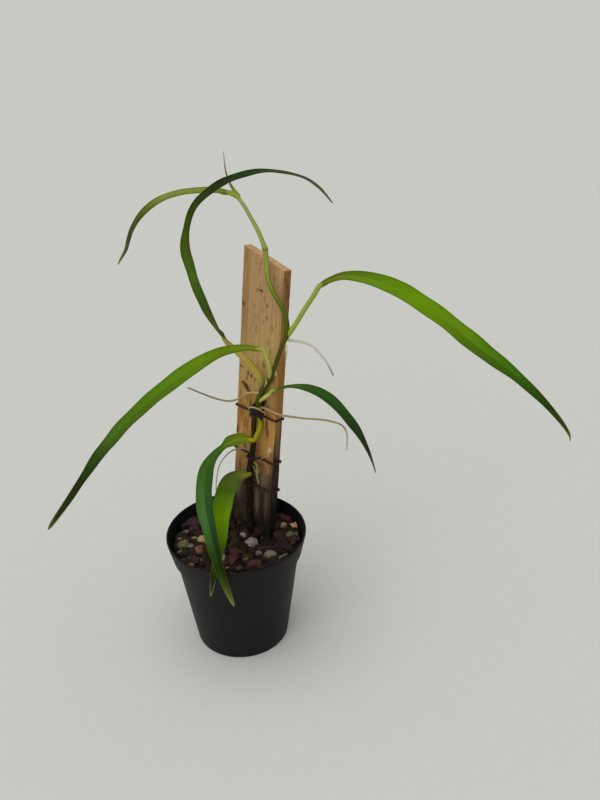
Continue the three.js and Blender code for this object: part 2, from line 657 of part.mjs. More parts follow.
function makeTie(height) {
  const stand = TIE_RADIUS + GAP + TIE_SLACK;
  const half = PLANK_WIDTH / 2;
  const stem = stemBeside(height);
  const over = STEM_THICKEST + stand; // from the stem's axis to the wire's
  const section = [
    [-half - stand, -PLANK_THICKNESS / 2],
    [-half - 0.7 * stand, 0.7 * stand],
    [-half + 2, stand + 0.1],
    [(stem.x - half) / 2, stand + 0.1],
    [stem.x - over - 1.6, stand + 0.3],
    [stem.x - over, stem.z],
    [stem.x - 0.7 * over, stem.z + 0.72 * over],
    [stem.x, stem.z + over],
    [stem.x + 0.7 * over, stem.z + 0.72 * over],
    [stem.x + over, stem.z],
    [stem.x + over + 1.6, stand + 0.3],
    [half - 1.5, stand + 0.1],
    [half + 0.7 * stand, 0.7 * stand],
    [half + stand, -PLANK_THICKNESS / 2],
    [half + 0.7 * stand, -PLANK_THICKNESS - 0.7 * stand],
    [half - 3, -PLANK_THICKNESS - stand - 0.1],
    [-half + 3, -PLANK_THICKNESS - stand - 0.1],
    [-half - 0.7 * stand, -PLANK_THICKNESS - 0.7 * stand],
  ];
  const place = ([x, z]) => new THREE.Vector3(x, height, z).applyMatrix4(plankFrame).toArray();
  const route = section.map(place);
  return taperedTube(route, TIE_RADIUS, { sides: 6, steps: 1, loops: true });
}

// Assembly

const grownStem = toSolid(makeStem(GAP));
const rootOptions = { sides: 6, steps: 2 };

addPiece('pot', 'pot', makePot());
addPiece('plank', 'wood', makePlank());
addPiece('stem', 'stem', makeStem());

for (const [name, leaf] of Object.entries(LEAVES)) {
  addPiece(`stalk_${name}`, 'petiole', toGeometry(makeStalk(leaf).subtract(grownStem)));
  addPiece(`blade_${name}`, 'leaf', makeBlade(leaf));
}
const newLeaf = toSolid(taperedTube(NEW_LEAF.route, NEW_LEAF.radii, rootOptions))
  .subtract(grownStem)
  .subtract(makeStalk(LEAVES.top, GAP));
addPiece('new_leaf', 'petiole', toGeometry(newLeaf));
for (const [name, { route, radii }] of Object.entries(AERIAL_ROOTS)) {
  const root = toSolid(taperedTube(route, radii, rootOptions));
  addPiece(name, 'aerial_root', toGeometry(root.subtract(grownStem)));
}
for (const [name, { route, radii }] of Object.entries(FEEDER_ROOTS)) {
  const root = toSolid(taperedTube(route, radii, rootOptions));
  addPiece(name, 'feeder_root', toGeometry(root.subtract(grownStem)));
}
['tie_low', 'tie_middle', 'tie_high'].forEach((name, i) => {
  addPiece(name, 'wire', makeTie(TIE_HEIGHTS[i]));
});

const pockets = [grownStem, toSolid(makePlank(GAP))];
for (const { route, radii } of Object.values(FEEDER_ROOTS)) {
  pockets.push(toSolid(taperedTube(route, radii, { ...rootOptions, grow: GAP })));
}
Object.entries(TOP_DRESSING).forEach(([name, chip], i) => {
  const seed = 101 + 17 * i;
  addPiece(name, chip.finish, makeChip(chip, seed));
  pockets.push(toSolid(makeChip(chip, seed, GAP + 0.05)));
});
addPiece('potting_mix', 'mix', makeMix(pockets));

export default potted;
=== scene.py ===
# A climbing philodendron with narrow leaves, tied to a bare plank in a round nursery pot.
# The frame is in metres, +Z up, with its origin at the centre of the pot's base. X points right and
# Y away from the viewer. Sizes and places below are in millimetres, and MM turns them to metres.

import math
import random

import bmesh
import bpy
from mathutils import Matrix, Vector, noise


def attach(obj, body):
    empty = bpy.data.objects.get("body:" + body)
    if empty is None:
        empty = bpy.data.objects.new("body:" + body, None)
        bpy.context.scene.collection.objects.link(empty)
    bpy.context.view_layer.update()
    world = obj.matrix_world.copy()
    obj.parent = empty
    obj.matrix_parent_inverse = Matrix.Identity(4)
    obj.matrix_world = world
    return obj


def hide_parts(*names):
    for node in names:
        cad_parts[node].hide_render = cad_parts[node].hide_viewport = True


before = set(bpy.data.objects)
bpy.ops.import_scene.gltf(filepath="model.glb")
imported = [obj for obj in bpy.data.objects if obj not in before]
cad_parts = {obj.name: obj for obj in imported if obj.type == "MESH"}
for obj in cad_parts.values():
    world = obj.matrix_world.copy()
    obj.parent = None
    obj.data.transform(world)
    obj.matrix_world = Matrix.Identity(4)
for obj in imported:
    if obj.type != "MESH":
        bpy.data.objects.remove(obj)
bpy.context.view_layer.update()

MM = 0.001

# Pot

POT_HEIGHT = 80
RIM_RADIUS = 45
RIM_DEPTH = 15
RIM_FOOT_RADIUS = 42
BODY_TOP_RADIUS = 39.8
BASE_RADIUS = 30.5
POT_WALL = 1.3
FLOOR_TOP = 3
FOOT_HEIGHT = 1.5
FOOT_INNER_RADIUS = 27
PAD_RADIUS = 14
DRAIN_HOLES = 8
DRAIN_RADIUS = 3.2
DRAIN_CIRCLE = 20.5
POT_SIDES = 192
POT_CREASE = 40  # degrees from which an edge shows sharp

# Potting mix

MIX_LEVEL = 71
MIX_RADIUS = 41.2
MIX_RINGS = 70
MIX_SIDES = 210

# Plank

PLANK_WIDTH = 35
PLANK_THICKNESS = 6
PLANK_YAW = math.radians(45)
PLANK_LEAN = math.radians(7.6)
PLANK_ANCHOR = (8.1, 15.7, 72)
PLANK_ABOVE = 180.1
PLANK_BURIED = 60.5
PLANK_TOP_RISE = 4.4
CHIP_HEIGHT = 124
CHIP_LENGTH = 10
CHIP_DEPTH = 0.9

# Ties

TIE_RADIUS = 0.75
STRAND_RADIUS = 0.42
STRAND_OFFSET = 0.36  # of a strand's middle from the middle of the twist
TWIST_PITCH = 6
END_TURNS = 1.6
END_POINTS = 15
TIE_HEIGHTS = {"tie_low": 32, "tie_middle": 52, "tie_high": 81.5}

# Stem: its route, its radius at each share of the route, and the height of each node on it

STEM_ROUTE = [
    (4.6, 8.2, 38), (6.2, 9.8, 53), (7.9, 11.5, 71.5), (8.9, 14.5, 93), (9, 17.3, 108),
    (11.2, 17.5, 121.5), (13.5, 17.9, 135.7), (14.3, 19.7, 149.2), (17.9, 18.1, 162.4),
    (20.7, 17, 171.4), (25.6, 13.9, 179.9), (28.8, 11.1, 188.5), (31.7, 8.6, 197.3),
    (34.3, 6.1, 205.3), (37, 4.7, 212), (37.5, 5.4, 218.3), (36.6, 8.4, 223.4), (34.3, 11.7, 227.9),
    (31.4, 15.2, 232.1), (28.7, 19, 236.7), (27, 22, 243), (26.7, 23.6, 250.5), (26.2, 24.3, 258),
    (24.6, 25.4, 263), (22, 27.8, 269), (18.1, 32.6, 275.3), (14.2, 37.6, 281), (10.8, 41.8, 284.8),
]
STEM_AT_MIX = (7.9, 11.5)
STEM_THICKEST = 2.3
STEM_RADII = [
    (0, 2.2), (0.1, 2.3), (0.148, 2.2), (0.185, 2.1), (0.215, 1.45), (0.25, 1.5), (0.285, 2.2),
    (0.333, 1.9), (0.365, 1.9), (0.4, 1.35), (0.5, 1.35), (0.53, 1.6), (0.57, 1.35), (0.8, 1.45),
    (0.82, 1.55), (0.85, 1.25), (1, 1.05),
]
STEM_NODES = [84, 96, 109, 122, 152, 161, 180, 212, 258]
NODE_BREADTH = 1.3
OLD_BARK_TOP = 180
OLD_BARK_FADE = 30

# Leaves. face: where the upper side looks, evenly spaced from foot to tip. outline: share of the
# widest width at each share of the length. colours: from foot to tip. The half shade is painted
# light and shade: along the blade, how much lighter one half is painted than the other, the
# right-hand one seen from the foot with the upper side up. lead: how far the stalk runs straight
# before the blade. foot_rise: where the stalk's foot lies in the stem, as millimetres up from
# where it comes out. flatness: how much broader than thick the stalk is. rib: how strongly the
# stalk's yellow runs on in the midrib.

# The darkest colour stops towards the tips are partly the leaf's own deep green and partly painted shade
LEAVES = {
    "right_high": {
        "stalk": [(37, 4.9, 211), (42.4, 4, 219.1), (47.3, 2.6, 227.7), (53.2, 1.2, 237.3)],
        "radii": [1.6, 1.4, 1.4, 1.4, 1.5, 1.5],
        "lead": 1.2,
        "width": 12.5,
        "midrib": [(57.2, 0, 243.4), (60.5, -1, 245.8), (71, -3, 249.5), (92.3, -8, 245.9),
                   (116.9, -14, 232), (141.9, -20, 212.5), (166.8, -26, 193.3), (186.3, -29, 173.8),
                   (196.6, -30, 159.6), (197.6, -30, 155.6)],
        "face": [(-0.6, -0.6, 0.4), (0.2, -0.6, 0.8), (0.4, -0.7, 0.6), (0.4, -0.7, 0.6),
                 (0.5, -0.8, 0.4)],
        "outline": [(0, 0.24), (0.06, 0.35), (0.15, 0.62), (0.22, 0.84), (0.3, 0.95), (0.42, 0.92),
                    (0.55, 0.95), (0.6, 0.86), (0.68, 0.67), (0.8, 0.45), (0.88, 0.32), (0.96, 0.2),
                    (1, 0.06)],
        "colours": [(0, "#46580f"), (0.03, "#5a6a1c"), (0.15, "#5a7c14"), (0.32, "#658e06"),
                    (0.45, "#5f8410"), (0.58, "#48700f"), (0.7, "#38600e"), (0.84, "#203806"),
                    (0.96, "#363f0e"), (1, "#6b6045")],
        "fold": [(0, -0.1), (0.12, -0.15), (0.25, -0.03), (0.4, 0.05), (0.52, 0.2), (0.68, 0.2),
                 (0.85, 0)],
    },
    "left_long": {
        "stalk": [(25.6, 13.9, 180.2), (26.2, 11, 187.5), (25.2, 9.8, 194.2)],
        "radii": [1.6, 1.3, 1.2, 1.4, 1.4],
        "lead": 2.5,
        "width": 12,
        "midrib": [(20.3, 9.8, 201.8), (11, 8, 203.5), (-3.4, 4, 202.2), (-24.1, -3, 192.4),
                   (-54.2, -11, 170.6), (-76.4, -17, 147.7), (-96, -21, 121.7), (-112.5, -23, 100.5)],
        "face": [(0.3, -0.5, 0.8), (-0.3, -0.6, 0.7), (-0.5, -0.7, 0.5), (-0.5, -0.7, 0.4)],
        "outline": [(0, 0.26), (0.06, 0.42), (0.15, 0.61), (0.25, 0.86), (0.34, 0.88), (0.44, 0.8),
                    (0.55, 0.77), (0.65, 0.69), (0.78, 0.47), (0.9, 0.38), (0.97, 0.27), (1, 0.1)],
        "colours": [(0, "#6e7c20"), (0.12, "#5a780c"), (0.2, "#5a7d0e"), (0.32, "#4f7310"),
                    (0.44, "#46690f"), (0.58, "#3e601a"), (0.67, "#243e10"), (0.78, "#142405"),
                    (0.94, "#1b250a"), (1, "#4c5232")],
        "fold": [(0, -0.04), (0.3, -0.1), (0.6, -0.14), (0.9, -0.1)],
    },
    "arching": {
        "stalk": [(21, 16.9, 171.8), (20.4, 15.8, 177.3), (18.6, 16.4, 181.8), (12.7, 19.8, 189),
                  (6.8, 23, 194.6), (2.3, 23.4, 199)],
        "radii": [1.3, 1.6, 1.75, 1.8, 1.65, 1.35, 1.15, 1.05],
        "foot_rise": -8,
        "flatness": 0.25,
        "lead": 2.5,
        "width": 9.5,
        "midrib": [(-1, 21, 205), (-6.4, 16, 218.6), (-12.6, 8, 242.7), (-15.8, 1, 270), (-11, 2, 287.1),
                   (-1.4, 9, 295.6), (11, 20, 299.8), (28, 34, 300.2), (49.4, 48, 293), (58.4, 53, 285.8),
                   (67, 58, 275)],
        "face": [(-0.4, -0.8, -0.5), (-0.6, -0.7, -0.3), (-0.2, -0.4, 0.9), (0.4, -0.3, 0.8),
                 (0.8, -0.4, 0.4)],
        "outline": [(0, 0.24), (0.05, 0.42), (0.13, 0.84), (0.22, 0.92), (0.3, 0.95), (0.35, 0.82),
                    (0.41, 0.5), (0.45, 0.52), (0.5, 0.7), (0.56, 0.66), (0.62, 0.64), (0.7, 0.44),
                    (0.78, 0.31), (0.84, 0.25), (0.92, 0.34), (0.97, 0.26), (1, 0.1)],
        "colours": [(0, "#3e4615"), (0.06, "#48561a"), (0.13, "#334806"), (0.24, "#426206"),
                    (0.36, "#3e5008"), (0.48, "#1a2c04"), (0.58, "#0c2202"), (0.66, "#10340a"),
                    (0.8, "#3c4826"), (1, "#616347")],
        "fold": [(0, 0.15), (0.4, 0.1), (0.6, 0.05)],
    },
    "right_short": {
        "stalk": [(17.5, 18.1, 161.6), (22, 13.5, 167.9), (25.5, 11.8, 171.5)],
        "radii": [0.7, 1.35, 1.1, 1, 1],
        "lead": 2.5,
        "width": 10,
        "midrib": [(28.6, 10.7, 174), (35.5, 9, 176.8), (44, 7, 177.4), (55.3, 3, 175), (65.3, -1, 167.6),
                   (75.2, -4, 155.4), (83.3, -6, 140.6), (88.8, -7, 124.2)],
        "face": [(-0.2, -0.2, 1), (0.5, -0.3, 0.8), (0.8, -0.5, 0.4), (0.8, -0.6, 0.3)],
        "outline": [(0, 0.26), (0.1, 0.32), (0.16, 0.46), (0.23, 0.76), (0.3, 0.9), (0.46, 1),
                    (0.56, 0.88), (0.7, 0.67), (0.82, 0.37), (0.9, 0.22), (0.96, 0.15), (1, 0.06)],
        "colours": [(0, "#4c6828"), (0.18, "#2f5214"), (0.4, "#244e1a"), (0.62, "#1e3a14"),
                    (0.82, "#161f10"), (1, "#50584c")],
        "fold": [(0, 0.1), (0.5, 0.15)],
    },
    "front_long": {
        "stalk": [(17, 17.6, 152), (18.5, 15.8, 149), (17.9, 14.4, 145.8), (16, 13.4, 142.2)],
        "radii": [1.1, 1.35, 1.45, 1.4, 1.4, 1.5],
        "foot_rise": 3,
        "lead": 2,
        "width": 11.5,
        "midrib": [(12, 12.8, 138.8), (6, 10, 141.3), (-0.3, 5, 141.9), (-8, -3, 139.4),
                   (-13.1, -11, 134.3), (-14.8, -21, 127.4), (-14.2, -31, 118.5), (-11.5, -39, 108),
                   (-9, -46, 99), (-6.5, -50, 87.5), (-3, -52, 74), (0.5, -53, 62)],
        "face": [(0.5, -0.3, 0.8), (-0.3, -0.3, 0.9), (-0.4, -0.7, 0.6), (-0.4, -0.9, 0.2),
                 (-0.3, -1, 0)],
        "outline": [(0, 0.4), (0.05, 0.74), (0.11, 0.78), (0.165, 0.4), (0.21, 0.56), (0.26, 0.76),
                    (0.31, 0.88), (0.38, 0.97), (0.46, 0.97), (0.55, 0.9), (0.65, 0.8), (0.76, 0.6),
                    (0.88, 0.42), (0.96, 0.26), (1, 0.1)],
        "colours": [(0, "#8c8a1e"), (0.09, "#607a1e"), (0.15, "#4e6c1c"), (0.2, "#335a18"),
                    (0.34, "#2f561e"), (0.56, "#2f582a"), (0.7, "#17330f"), (0.79, "#122305"),
                    (0.88, "#33430b"), (0.95, "#5a691a"), (1, "#8c8e60")],
        "rib": [(0, 0.8), (0.13, 0.5), (0.19, 0.1), (0.3, 0.02)],
        "fold": [(0, 0.1), (0.16, 0), (0.3, -0.14), (0.5, -0.36), (0.7, -0.48), (0.84, -0.3)],
    },
    "front_low": {
        "stalk": [(9.3, 17.2, 110)],
        "radii": [1.5, 1.5, 1.5],
        "lead": 1.2,
        "width": 14,
        "midrib": [(8.8, 13.6, 113.2), (4, 11, 114), (-0.5, 5, 114.7), (-2.7, -2, 113.7),
                   (-4.3, -11, 112.5), (-5.2, -20, 110.5), (-6, -27, 106.5), (-6, -33, 102),
                   (-7, -39, 97), (-8.5, -43.5, 89.5), (-11, -47, 80), (-13.5, -50, 67.5)],
        "face": [(0.4, -0.4, 0.8), (-0.3, -0.2, 1), (-0.4, -0.7, 0.6), (-0.4, -0.9, 0.3)],
        "outline": [(0, 0.28), (0.1, 0.7), (0.22, 0.96), (0.34, 0.98), (0.5, 0.84), (0.62, 0.7),
                    (0.74, 0.5), (0.86, 0.3), (0.95, 0.18), (1, 0.08)],
        "colours": [(0, "#82862c"), (0.12, "#566830"), (0.26, "#456a08"), (0.48, "#709804"),
                    (0.64, "#5c8004"), (0.76, "#374b06"), (0.86, "#121609"), (0.95, "#14160d"),
                    (1, "#6a6a62")],
        "fold": [(0, 0.05), (0.3, -0.02), (0.6, -0.08), (0.8, 0)],
    },
    "top": {
        "stalk": [(11.3, 41.1, 284.3)],
        "radii": [1.4, 1.6, 1.35],
        "lead": 1.5,
        "width": 7.5,
        "midrib": [(6, 43.5, 286.5), (2, 45, 287), (-14, 50, 286.6), (-33, 56, 282), (-48.3, 60, 271.8),
                   (-55.3, 61.8, 262.7), (-59.6, 62.9, 253.4), (-61.3, 63.4, 249), (-68, 64, 239)],
        "face": [(0, -0.4, 0.9), (-0.3, -0.5, 0.8), (-0.7, -0.7, 0.3), (-0.6, -0.7, 0.3)],
        "outline": [(0, 0.42), (0.08, 0.66), (0.16, 0.76), (0.26, 0.7), (0.38, 0.67), (0.48, 0.77),
                    (0.58, 0.69), (0.7, 0.62), (0.82, 0.52), (0.9, 0.4), (0.96, 0.26), (1, 0.1)],
        "colours": [(0, "#647122"), (0.2, "#727f30"), (0.42, "#76823c"), (0.56, "#55641c"),
                    (0.68, "#3e4e14"), (0.8, "#34421a"), (0.89, "#4c5438"), (1, "#5c5e50")],
        "fold": [(0, -0.05), (0.4, -0.12), (0.7, -0.2)],
    },
}

NEW_LEAF = {
    "route": [(11.4, 41.9, 284.6), (10.3, 42.7, 286.6), (8.3, 44, 289.2), (6.5, 45.5, 292.6),
              (5, 46.6, 297.1), (4.4, 47.5, 301.6), (4.2, 48.1, 309)],
    "radii": [1.2, 1.1, 0.8, 0.55, 0.45, 0.38, 0.2],
    "colours": [(0, "#76841e"), (0.22, "#7a8a20"), (0.36, "#566436"), (0.65, "#626a50"), (1, "#8f9183")],
}

# Roots. colours: from the stem to the tip.

AERIAL_ROOTS = {
    "aerial_root_left": {
        "route": [(19.8, 17.4, 168.5), (14.8, 20.4, 168.2), (10.6, 23.8, 165.9), (5.5, 26.2, 161.6),
                  (-0.4, 26, 160), (-9.2, 22, 164.2), (-17.7, 18, 170.4), (-24.3, 14, 175.9)],
        "radii": [0.8, 0.8, 0.75, 0.7, 0.65, 0.6, 0.55, 0.4],
        "colours": ["#b49a62", "#b0965a", "#9c8c5c", "#98956c", "#8c8a72"],
    },
    "aerial_root_right": {
        "route": [(16.8, 18.5, 158.5), (21.9, 14.4, 160.1), (25.8, 11, 159.6), (31.5, 5, 160),
                  (43.3, 3, 158.6), (61, -1, 158), (69, -3, 155.2), (71.2, -4, 150), (71, -5, 139.6)],
        "radii": [0.8, 0.75, 0.7, 0.7, 0.6, 0.55, 0.5, 0.45, 0.35],
        "colours": ["#8a6a34", "#a8905a", "#918759", "#968a5c", "#b0a984"],
    },
    "aerial_root_upper": {
        "route": [(36.4, 4.9, 209.1), (44.6, 2, 209), (51.4, -2, 207.8), (57, -5, 202.6), (60.8, -7, 197),
                  (63, -8, 191.8)],
        "radii": [0.8, 0.7, 0.65, 0.6, 0.6, 0.45],
        "colours": ["#b4b490", "#b8b69c", "#c2b6ac", "#bcb0a8", "#847a70"],
    },
    "aerial_root_back_left": {
        "route": [(12.2, 17.7, 128), (6.1, 22, 127.7), (1, 20.5, 128), (-3.9, 16, 127), (-8.6, 11, 122.4),
                  (-10.9, 7, 113.8), (-11.6, 5.2, 107.5)],
        "radii": [0.6, 0.55, 0.5, 0.45, 0.4, 0.35, 0.3],
        "colours": ["#7a6844", "#958a74", "#a09a8a", "#a09c90", "#a4a298"],
    },
    "aerial_root_wrap": {
        "route": [(16.4, 18.8, 156), (12.6, 18.4, 158.6), (14.2, 14.6, 160.9), (18, 13.2, 160.2),
                  (21.4, 13.4, 157.2)],
        "radii": [0.6, 0.6, 0.55, 0.5, 0.35],
        "colours": ["#948a5a", "#a09868", "#a49d70", "#9e956a", "#8a8058"],
    },
    "aerial_root_down": {
        "route": [(11, 17.5, 120.2), (13.8, 15.6, 120.4), (15, 15.1, 117.8), (14.5, 14.8, 113.6),
                  (14.7, 14, 109.3), (15.4, 13, 106.2)],
        "radii": [0.7, 0.65, 0.6, 0.6, 0.5, 0.4],
        "colours": ["#7e6f2f", "#98893a", "#a0954e", "#98945e", "#92906c"],
    },
    "aerial_root_edge": {
        "route": [(35.8, 5.3, 206.6), (36.9, 5.1, 204.4), (36.6, 5.4, 201.2), (36.1, 6.2, 197.4)],
        "radii": [0.6, 0.55, 0.5, 0.35],
        "colours": ["#a8a470", "#c4c098", "#d0ccae", "#c8c4a8", "#b4b098"],
    },
}

# Hair-fine side roots, too thin to stand in the frame as solids
SIDE_ROOTS = [
    [(14.6, 14.2, 112.2), (15.5, 13.2, 114.6), (16.8, 12.2, 118.6)],
    [(14.6, 14.2, 112.2), (13.4, 15.2, 115), (11.8, 16.2, 119)],
    [(11.4, 24.6, 166), (11.6, 23.2, 162), (11.2, 22.8, 157), (11.1, 22.6, 153.4)],
    [(14, 17.6, 119.7), (16.4, 15.8, 121.8), (18.6, 14.1, 124.6), (21.2, 12.1, 127.6)],
    [(10.4, 22.6, 127.8), (8.8, 25.1, 130.6), (6.6, 28.2, 134.5)],
]
SIDE_ROOT_RADIUS = 0.28
SIDE_ROOT_COLOURS = ["#8c8450", "#a09a5c", "#b0a87c"]

# Pieces on top of the mix: place (x, y), size (length, breadth, height), turn in degrees, and the two
# ends of the piece's colour

TOP_DRESSING = {
    "bark_purple": ((-30, 21), (12, 9, 4.5), -40, "#211719", "#412c2d"),
    "bark_dark_red": ((-1, -13), (7.5, 6, 5), 20, "#311b1a", "#4f2d2a"),
    "bark_crimson": ((-2.5, -22.5), (6.5, 4.5, 4), 70, "#351e1d", "#593633"),
    "bark_pink_brown": ((12, -26), (9.5, 6.5, 4.5), 10, "#2a1a19", "#50372f"),
    "bark_red_purple": ((31.4, 22), (9, 6, 5), -35, "#2c171a", "#4b292e"),
    "bark_peach": ((37.2, 14.3), (6.6, 3.8, 4.2), 10, "#8a6848", "#c09c76"),
    "bark_plum": ((31, -7), (9, 6, 4.5), 75, "#171010", "#2e2222"),
    "bark_grey_brown": ((-27.5, -19), (7, 5.5, 4), 35, "#211818", "#423634"),
    "bark_dark_middle": ((20, -4), (9, 6.5, 4), -20, "#100c0a", "#201815"),
    "bark_dark_left": ((-14, 8), (10, 7, 4.5), 15, "#130d0d", "#2a1c1e"),
    "bark_dark_inner": ((-10, -7), (9, 6, 4), -60, "#130e0d", "#281d1f"),
    "bark_back": ((-15, 27), (11, 7, 4.5), 30, "#160f10", "#2e1d20"),
    "bark_back_right": ((17, 33), (10, 7, 4.5), -10, "#171011", "#301e20"),
    "pebble_orange": ((-23.6, -10.4), (6, 7.5, 6), 15, "#4e271e", "#824e22"),
    "pebble_pink": ((-34, 9.5), (5, 4.5, 4.5), 0, "#4a3d38", "#76665e"),
    "pebble_olive_left": ((-34, -4.8), (8.2, 7.4, 6.8), 30, "#40391b", "#696231"),
    "pebble_olive_right": ((34.6, 3), (7, 6, 5), 60, "#34331f", "#5c5a3e"),
    "perlite_small": ((3.7, 4), (4.4, 4.2, 5.4), 0, "#887c62", "#c0b498"),
    "perlite_large": ((9.5, -4.5), (8.6, 8, 7.2), 40, "#6c6355", "#a39887"),
    "perlite_pair": ((22, -17), (8.5, 7, 5.5), -20, "#5a5548", "#8b8473"),
    "perlite_bead": ((14.5, -14.5), (4.5, 3.5, 3.5), 0, "#625c54", "#8a837c"),
    "perlite_long": ((-8.1, -18), (3.6, 7, 5), 10, "#8c8266", "#beb494"),
    "perlite_right": ((29.6, 15), (6, 4.4, 4.2), 10, "#86785c", "#baac8e"),
    "perlite_back": ((-22.6, -0.6), (6.2, 5.4, 8), -30, "#8c764c", "#c4ac76"),
}

# More pieces on top of the mix, too small or too loose for the frame: kind, and then the same
LOOSE_PIECES = [
    ("perlite", (-37.4, 2.5), (4.2, 3, 3), 10, "#746450", "#a08f78"),
    ("pebble", (-29.3, -6.4), (4.2, 4.6, 4), 70, "#4a413b", "#81736a"),
    ("perlite", (-28.2, 2.2), (4.8, 3, 2.8), 20, "#7c6c56", "#ae9d82"),
    ("perlite", (-35.2, -11.8), (4.6, 3.6, 3.2), 40, "#4c4c38", "#807f66"),
    ("pebble", (-36.2, 9), (2.4, 3.2, 3), 0, "#5a4c3e", "#8c7c68"),
    ("bark", (-35.8, 17.2), (5.4, 4, 4), 50, "#1e1418", "#3a272d"),
    ("pebble", (-20.5, -20.8), (5.4, 3.4, 2.8), -15, "#2c2c22", "#545342"),
    ("bark", (-28.2, -24.6), (6, 2.8, 2.6), -20, "#4a3a28", "#7a6245"),
    ("perlite", (-25.9, -19.4), (1.6, 2.8, 2.4), 0, "#8a6a60", "#bc988c"),
    ("bark", (-32.6, -19.6), (5, 3, 2.8), 30, "#251a17", "#473630"),
    ("perlite", (-4.6, -28.2), (3.2, 2.4, 2.2), 30, "#6e6148", "#a4956f"),
    ("perlite", (-0.5, -33.4), (5.4, 2, 2), 5, "#5f584d", "#8f8678"),
    ("bark", (3, -29.8), (4.8, 3.4, 3), 40, "#2e2019", "#54402f"),
    ("bark", (7, -22.4), (3.4, 2.4, 2.2), 10, "#3c2c1e", "#6a5238"),
    ("bark", (29.8, -19.4), (6.8, 2.4, 2.4), 25, "#2f2d26", "#5c574c"),
    ("bark", (16.8, -9), (5, 3.6, 3.2), -30, "#1c1512", "#3a2c26"),
    ("bark", (32, 13.6), (3.6, 2.2, 2.4), 20, "#4a3418", "#6e5026"),
    ("perlite", (30.2, 30.4), (4.4, 2.8, 2.6), 15, "#413f39", "#716e65"),
    ("pebble", (38.4, 3.4), (2.8, 4.6, 3.4), 10, "#2f2e1f", "#545239"),
    ("bark", (34, -11.4), (5.6, 3.4, 3), 60, "#1a1614", "#322b27"),
    ("pebble", (2.4, 9.5), (3.4, 2.6, 2.4), 60, "#262324", "#454041"),
    ("pebble", (-6.5, 1.5), (3.8, 3, 2.6), 20, "#22201f", "#3f3a3a"),
    ("bark", (-3.5, 4.8), (5, 3.4, 3), 75, "#1a1414", "#352a2c"),
    ("bark", (-29, 12.6), (8, 5.5, 4), 15, "#1e1418", "#3e2930"),
    ("bark", (-23, 19), (7.5, 5, 4), 50, "#1b1216", "#38242c"),
    ("bark", (-1.2, -18), (6.5, 5, 3.8), -25, "#301a1b", "#54292a"),
    ("bark", (-6, -24.5), (5.5, 4, 3.4), 35, "#281718", "#452526"),
]
PIECE_SUNK = 0.35  # share of a piece's height that lies in the mix

# Camera, as it stood for the photograph: 850 pixels of focal length over an 800 pixel frame

CAMERA_PLACE = (43.6, -451.8, 400.2)
CAMERA_PITCH = math.radians(26.77)
CAMERA_ROLL = math.radians(-1.784)
SENSOR = 36
FOCAL_PIXELS = 850
FRAME_PIXELS = 800


# Colours and nodes


def linear(colour):
    """The linear colour of an sRGB hex value."""
    channels = [int(colour[i : i + 2], 16) / 255 for i in (1, 3, 5)]
    return (*[c / 12.92 if c <= 0.04045 else ((c + 0.055) / 1.055) ** 2.4 for c in channels], 1)


def per(size):
    """The scale of a pattern whose features measure this many millimetres."""
    return 1 / (size * MM)


MIX_FACTOR, MIX_A, MIX_B, MIX_RESULT = 0, 6, 7, 2  # sockets of a Mix node that mixes colours


def add(material, kind, inputs=None, stops=(), out=0, **settings):
    """Adds a node and gives one of its outputs. An input that is another node's output is linked. One
    that is (output, low, high) rises smoothly from 0 at low to 1 at high. Any other is set. stops are
    a colour ramp's places, each with a hex colour or a grey."""
    node = material.node_tree.nodes.new("ShaderNode" + kind)
    for name, value in settings.items():
        setattr(node, name, value)
    for name, value in (inputs or {}).items():
        if isinstance(value, tuple) and isinstance(value[0], bpy.types.NodeSocket):
            rise = dict(zip(("Value", "From Min", "From Max"), value))
            value = add(material, "MapRange", rise, interpolation_type="SMOOTHSTEP")
        if isinstance(value, bpy.types.NodeSocket):
            material.node_tree.links.new(value, node.inputs[name])
        else:
            node.inputs[name].default_value = value
    if stops:
        ramp = node.color_ramp.elements
        ramp.remove(ramp[1])
        for i, (place, colour) in enumerate(stops):
            element = ramp[0] if i == 0 else ramp.new(place)
            element.position = place
            element.color = linear(colour) if isinstance(colour, str) else (colour, colour, colour, 1)
    return node.outputs[out] if node.outputs else None


def new_material(name):
    """An empty material, and the output that says where a point of it lies."""
    material = bpy.data.materials.new(name)
    material.use_nodes = True
    material.node_tree.nodes.clear()
    return material, add(material, "NewGeometry", out="Position")


def stained(material, base, colour, *shares):
    """Base with a colour laid over it, as strongly as all the shares multiplied."""
    share = shares[0]
    for other in shares[1:]:
        share = add(material, "Math", {0: share, 1: other}, operation="MULTIPLY")
    overlay = linear(colour) if isinstance(colour, str) else colour
    inputs = {MIX_FACTOR: share, MIX_A: base, MIX_B: overlay}
    return add(material, "Mix", inputs, out=MIX_RESULT, data_type="RGBA")


def shaded(material, base, share, amount):
    """Base made darker or lighter by up to amount, by a pattern from 0 to 1."""
    tone = add(material, "MapRange", {"Value": share, "To Min": 1 - amount, "To Max": 1 + amount})
    inputs = {MIX_FACTOR: 1.0, MIX_A: base, MIX_B: tone}
    return add(material, "Mix", inputs, out=MIX_RESULT, data_type="RGBA", blend_type="MULTIPLY")


def streaked(material, place, scales, detail, roughness=0.5):
    """A cloudy pattern, stretched by its own scale along each axis of place."""
    stretched = add(material, "VectorMath", {0: place, 1: scales}, operation="MULTIPLY")
    inputs = {"Vector": stretched, "Scale": 1, "Detail": detail, "Roughness": roughness}
    return add(material, "TexNoise", inputs)


def surfaced(material, colour, roughness, ior, height, depth, extra=None):
    """Closes a material: its shader, with height as relief of that depth in millimetres."""
    relief = add(material, "Bump", {"Height": height, "Distance": depth * MM, "Strength": 1.0})
    inputs = {"Base Color": colour, "Roughness": roughness, "IOR": ior, "Normal": relief}
    shader = add(material, "BsdfPrincipled", {**inputs, **(extra or {})})
    add(material, "OutputMaterial", {"Surface": shader})
    return material


# Routes and skins


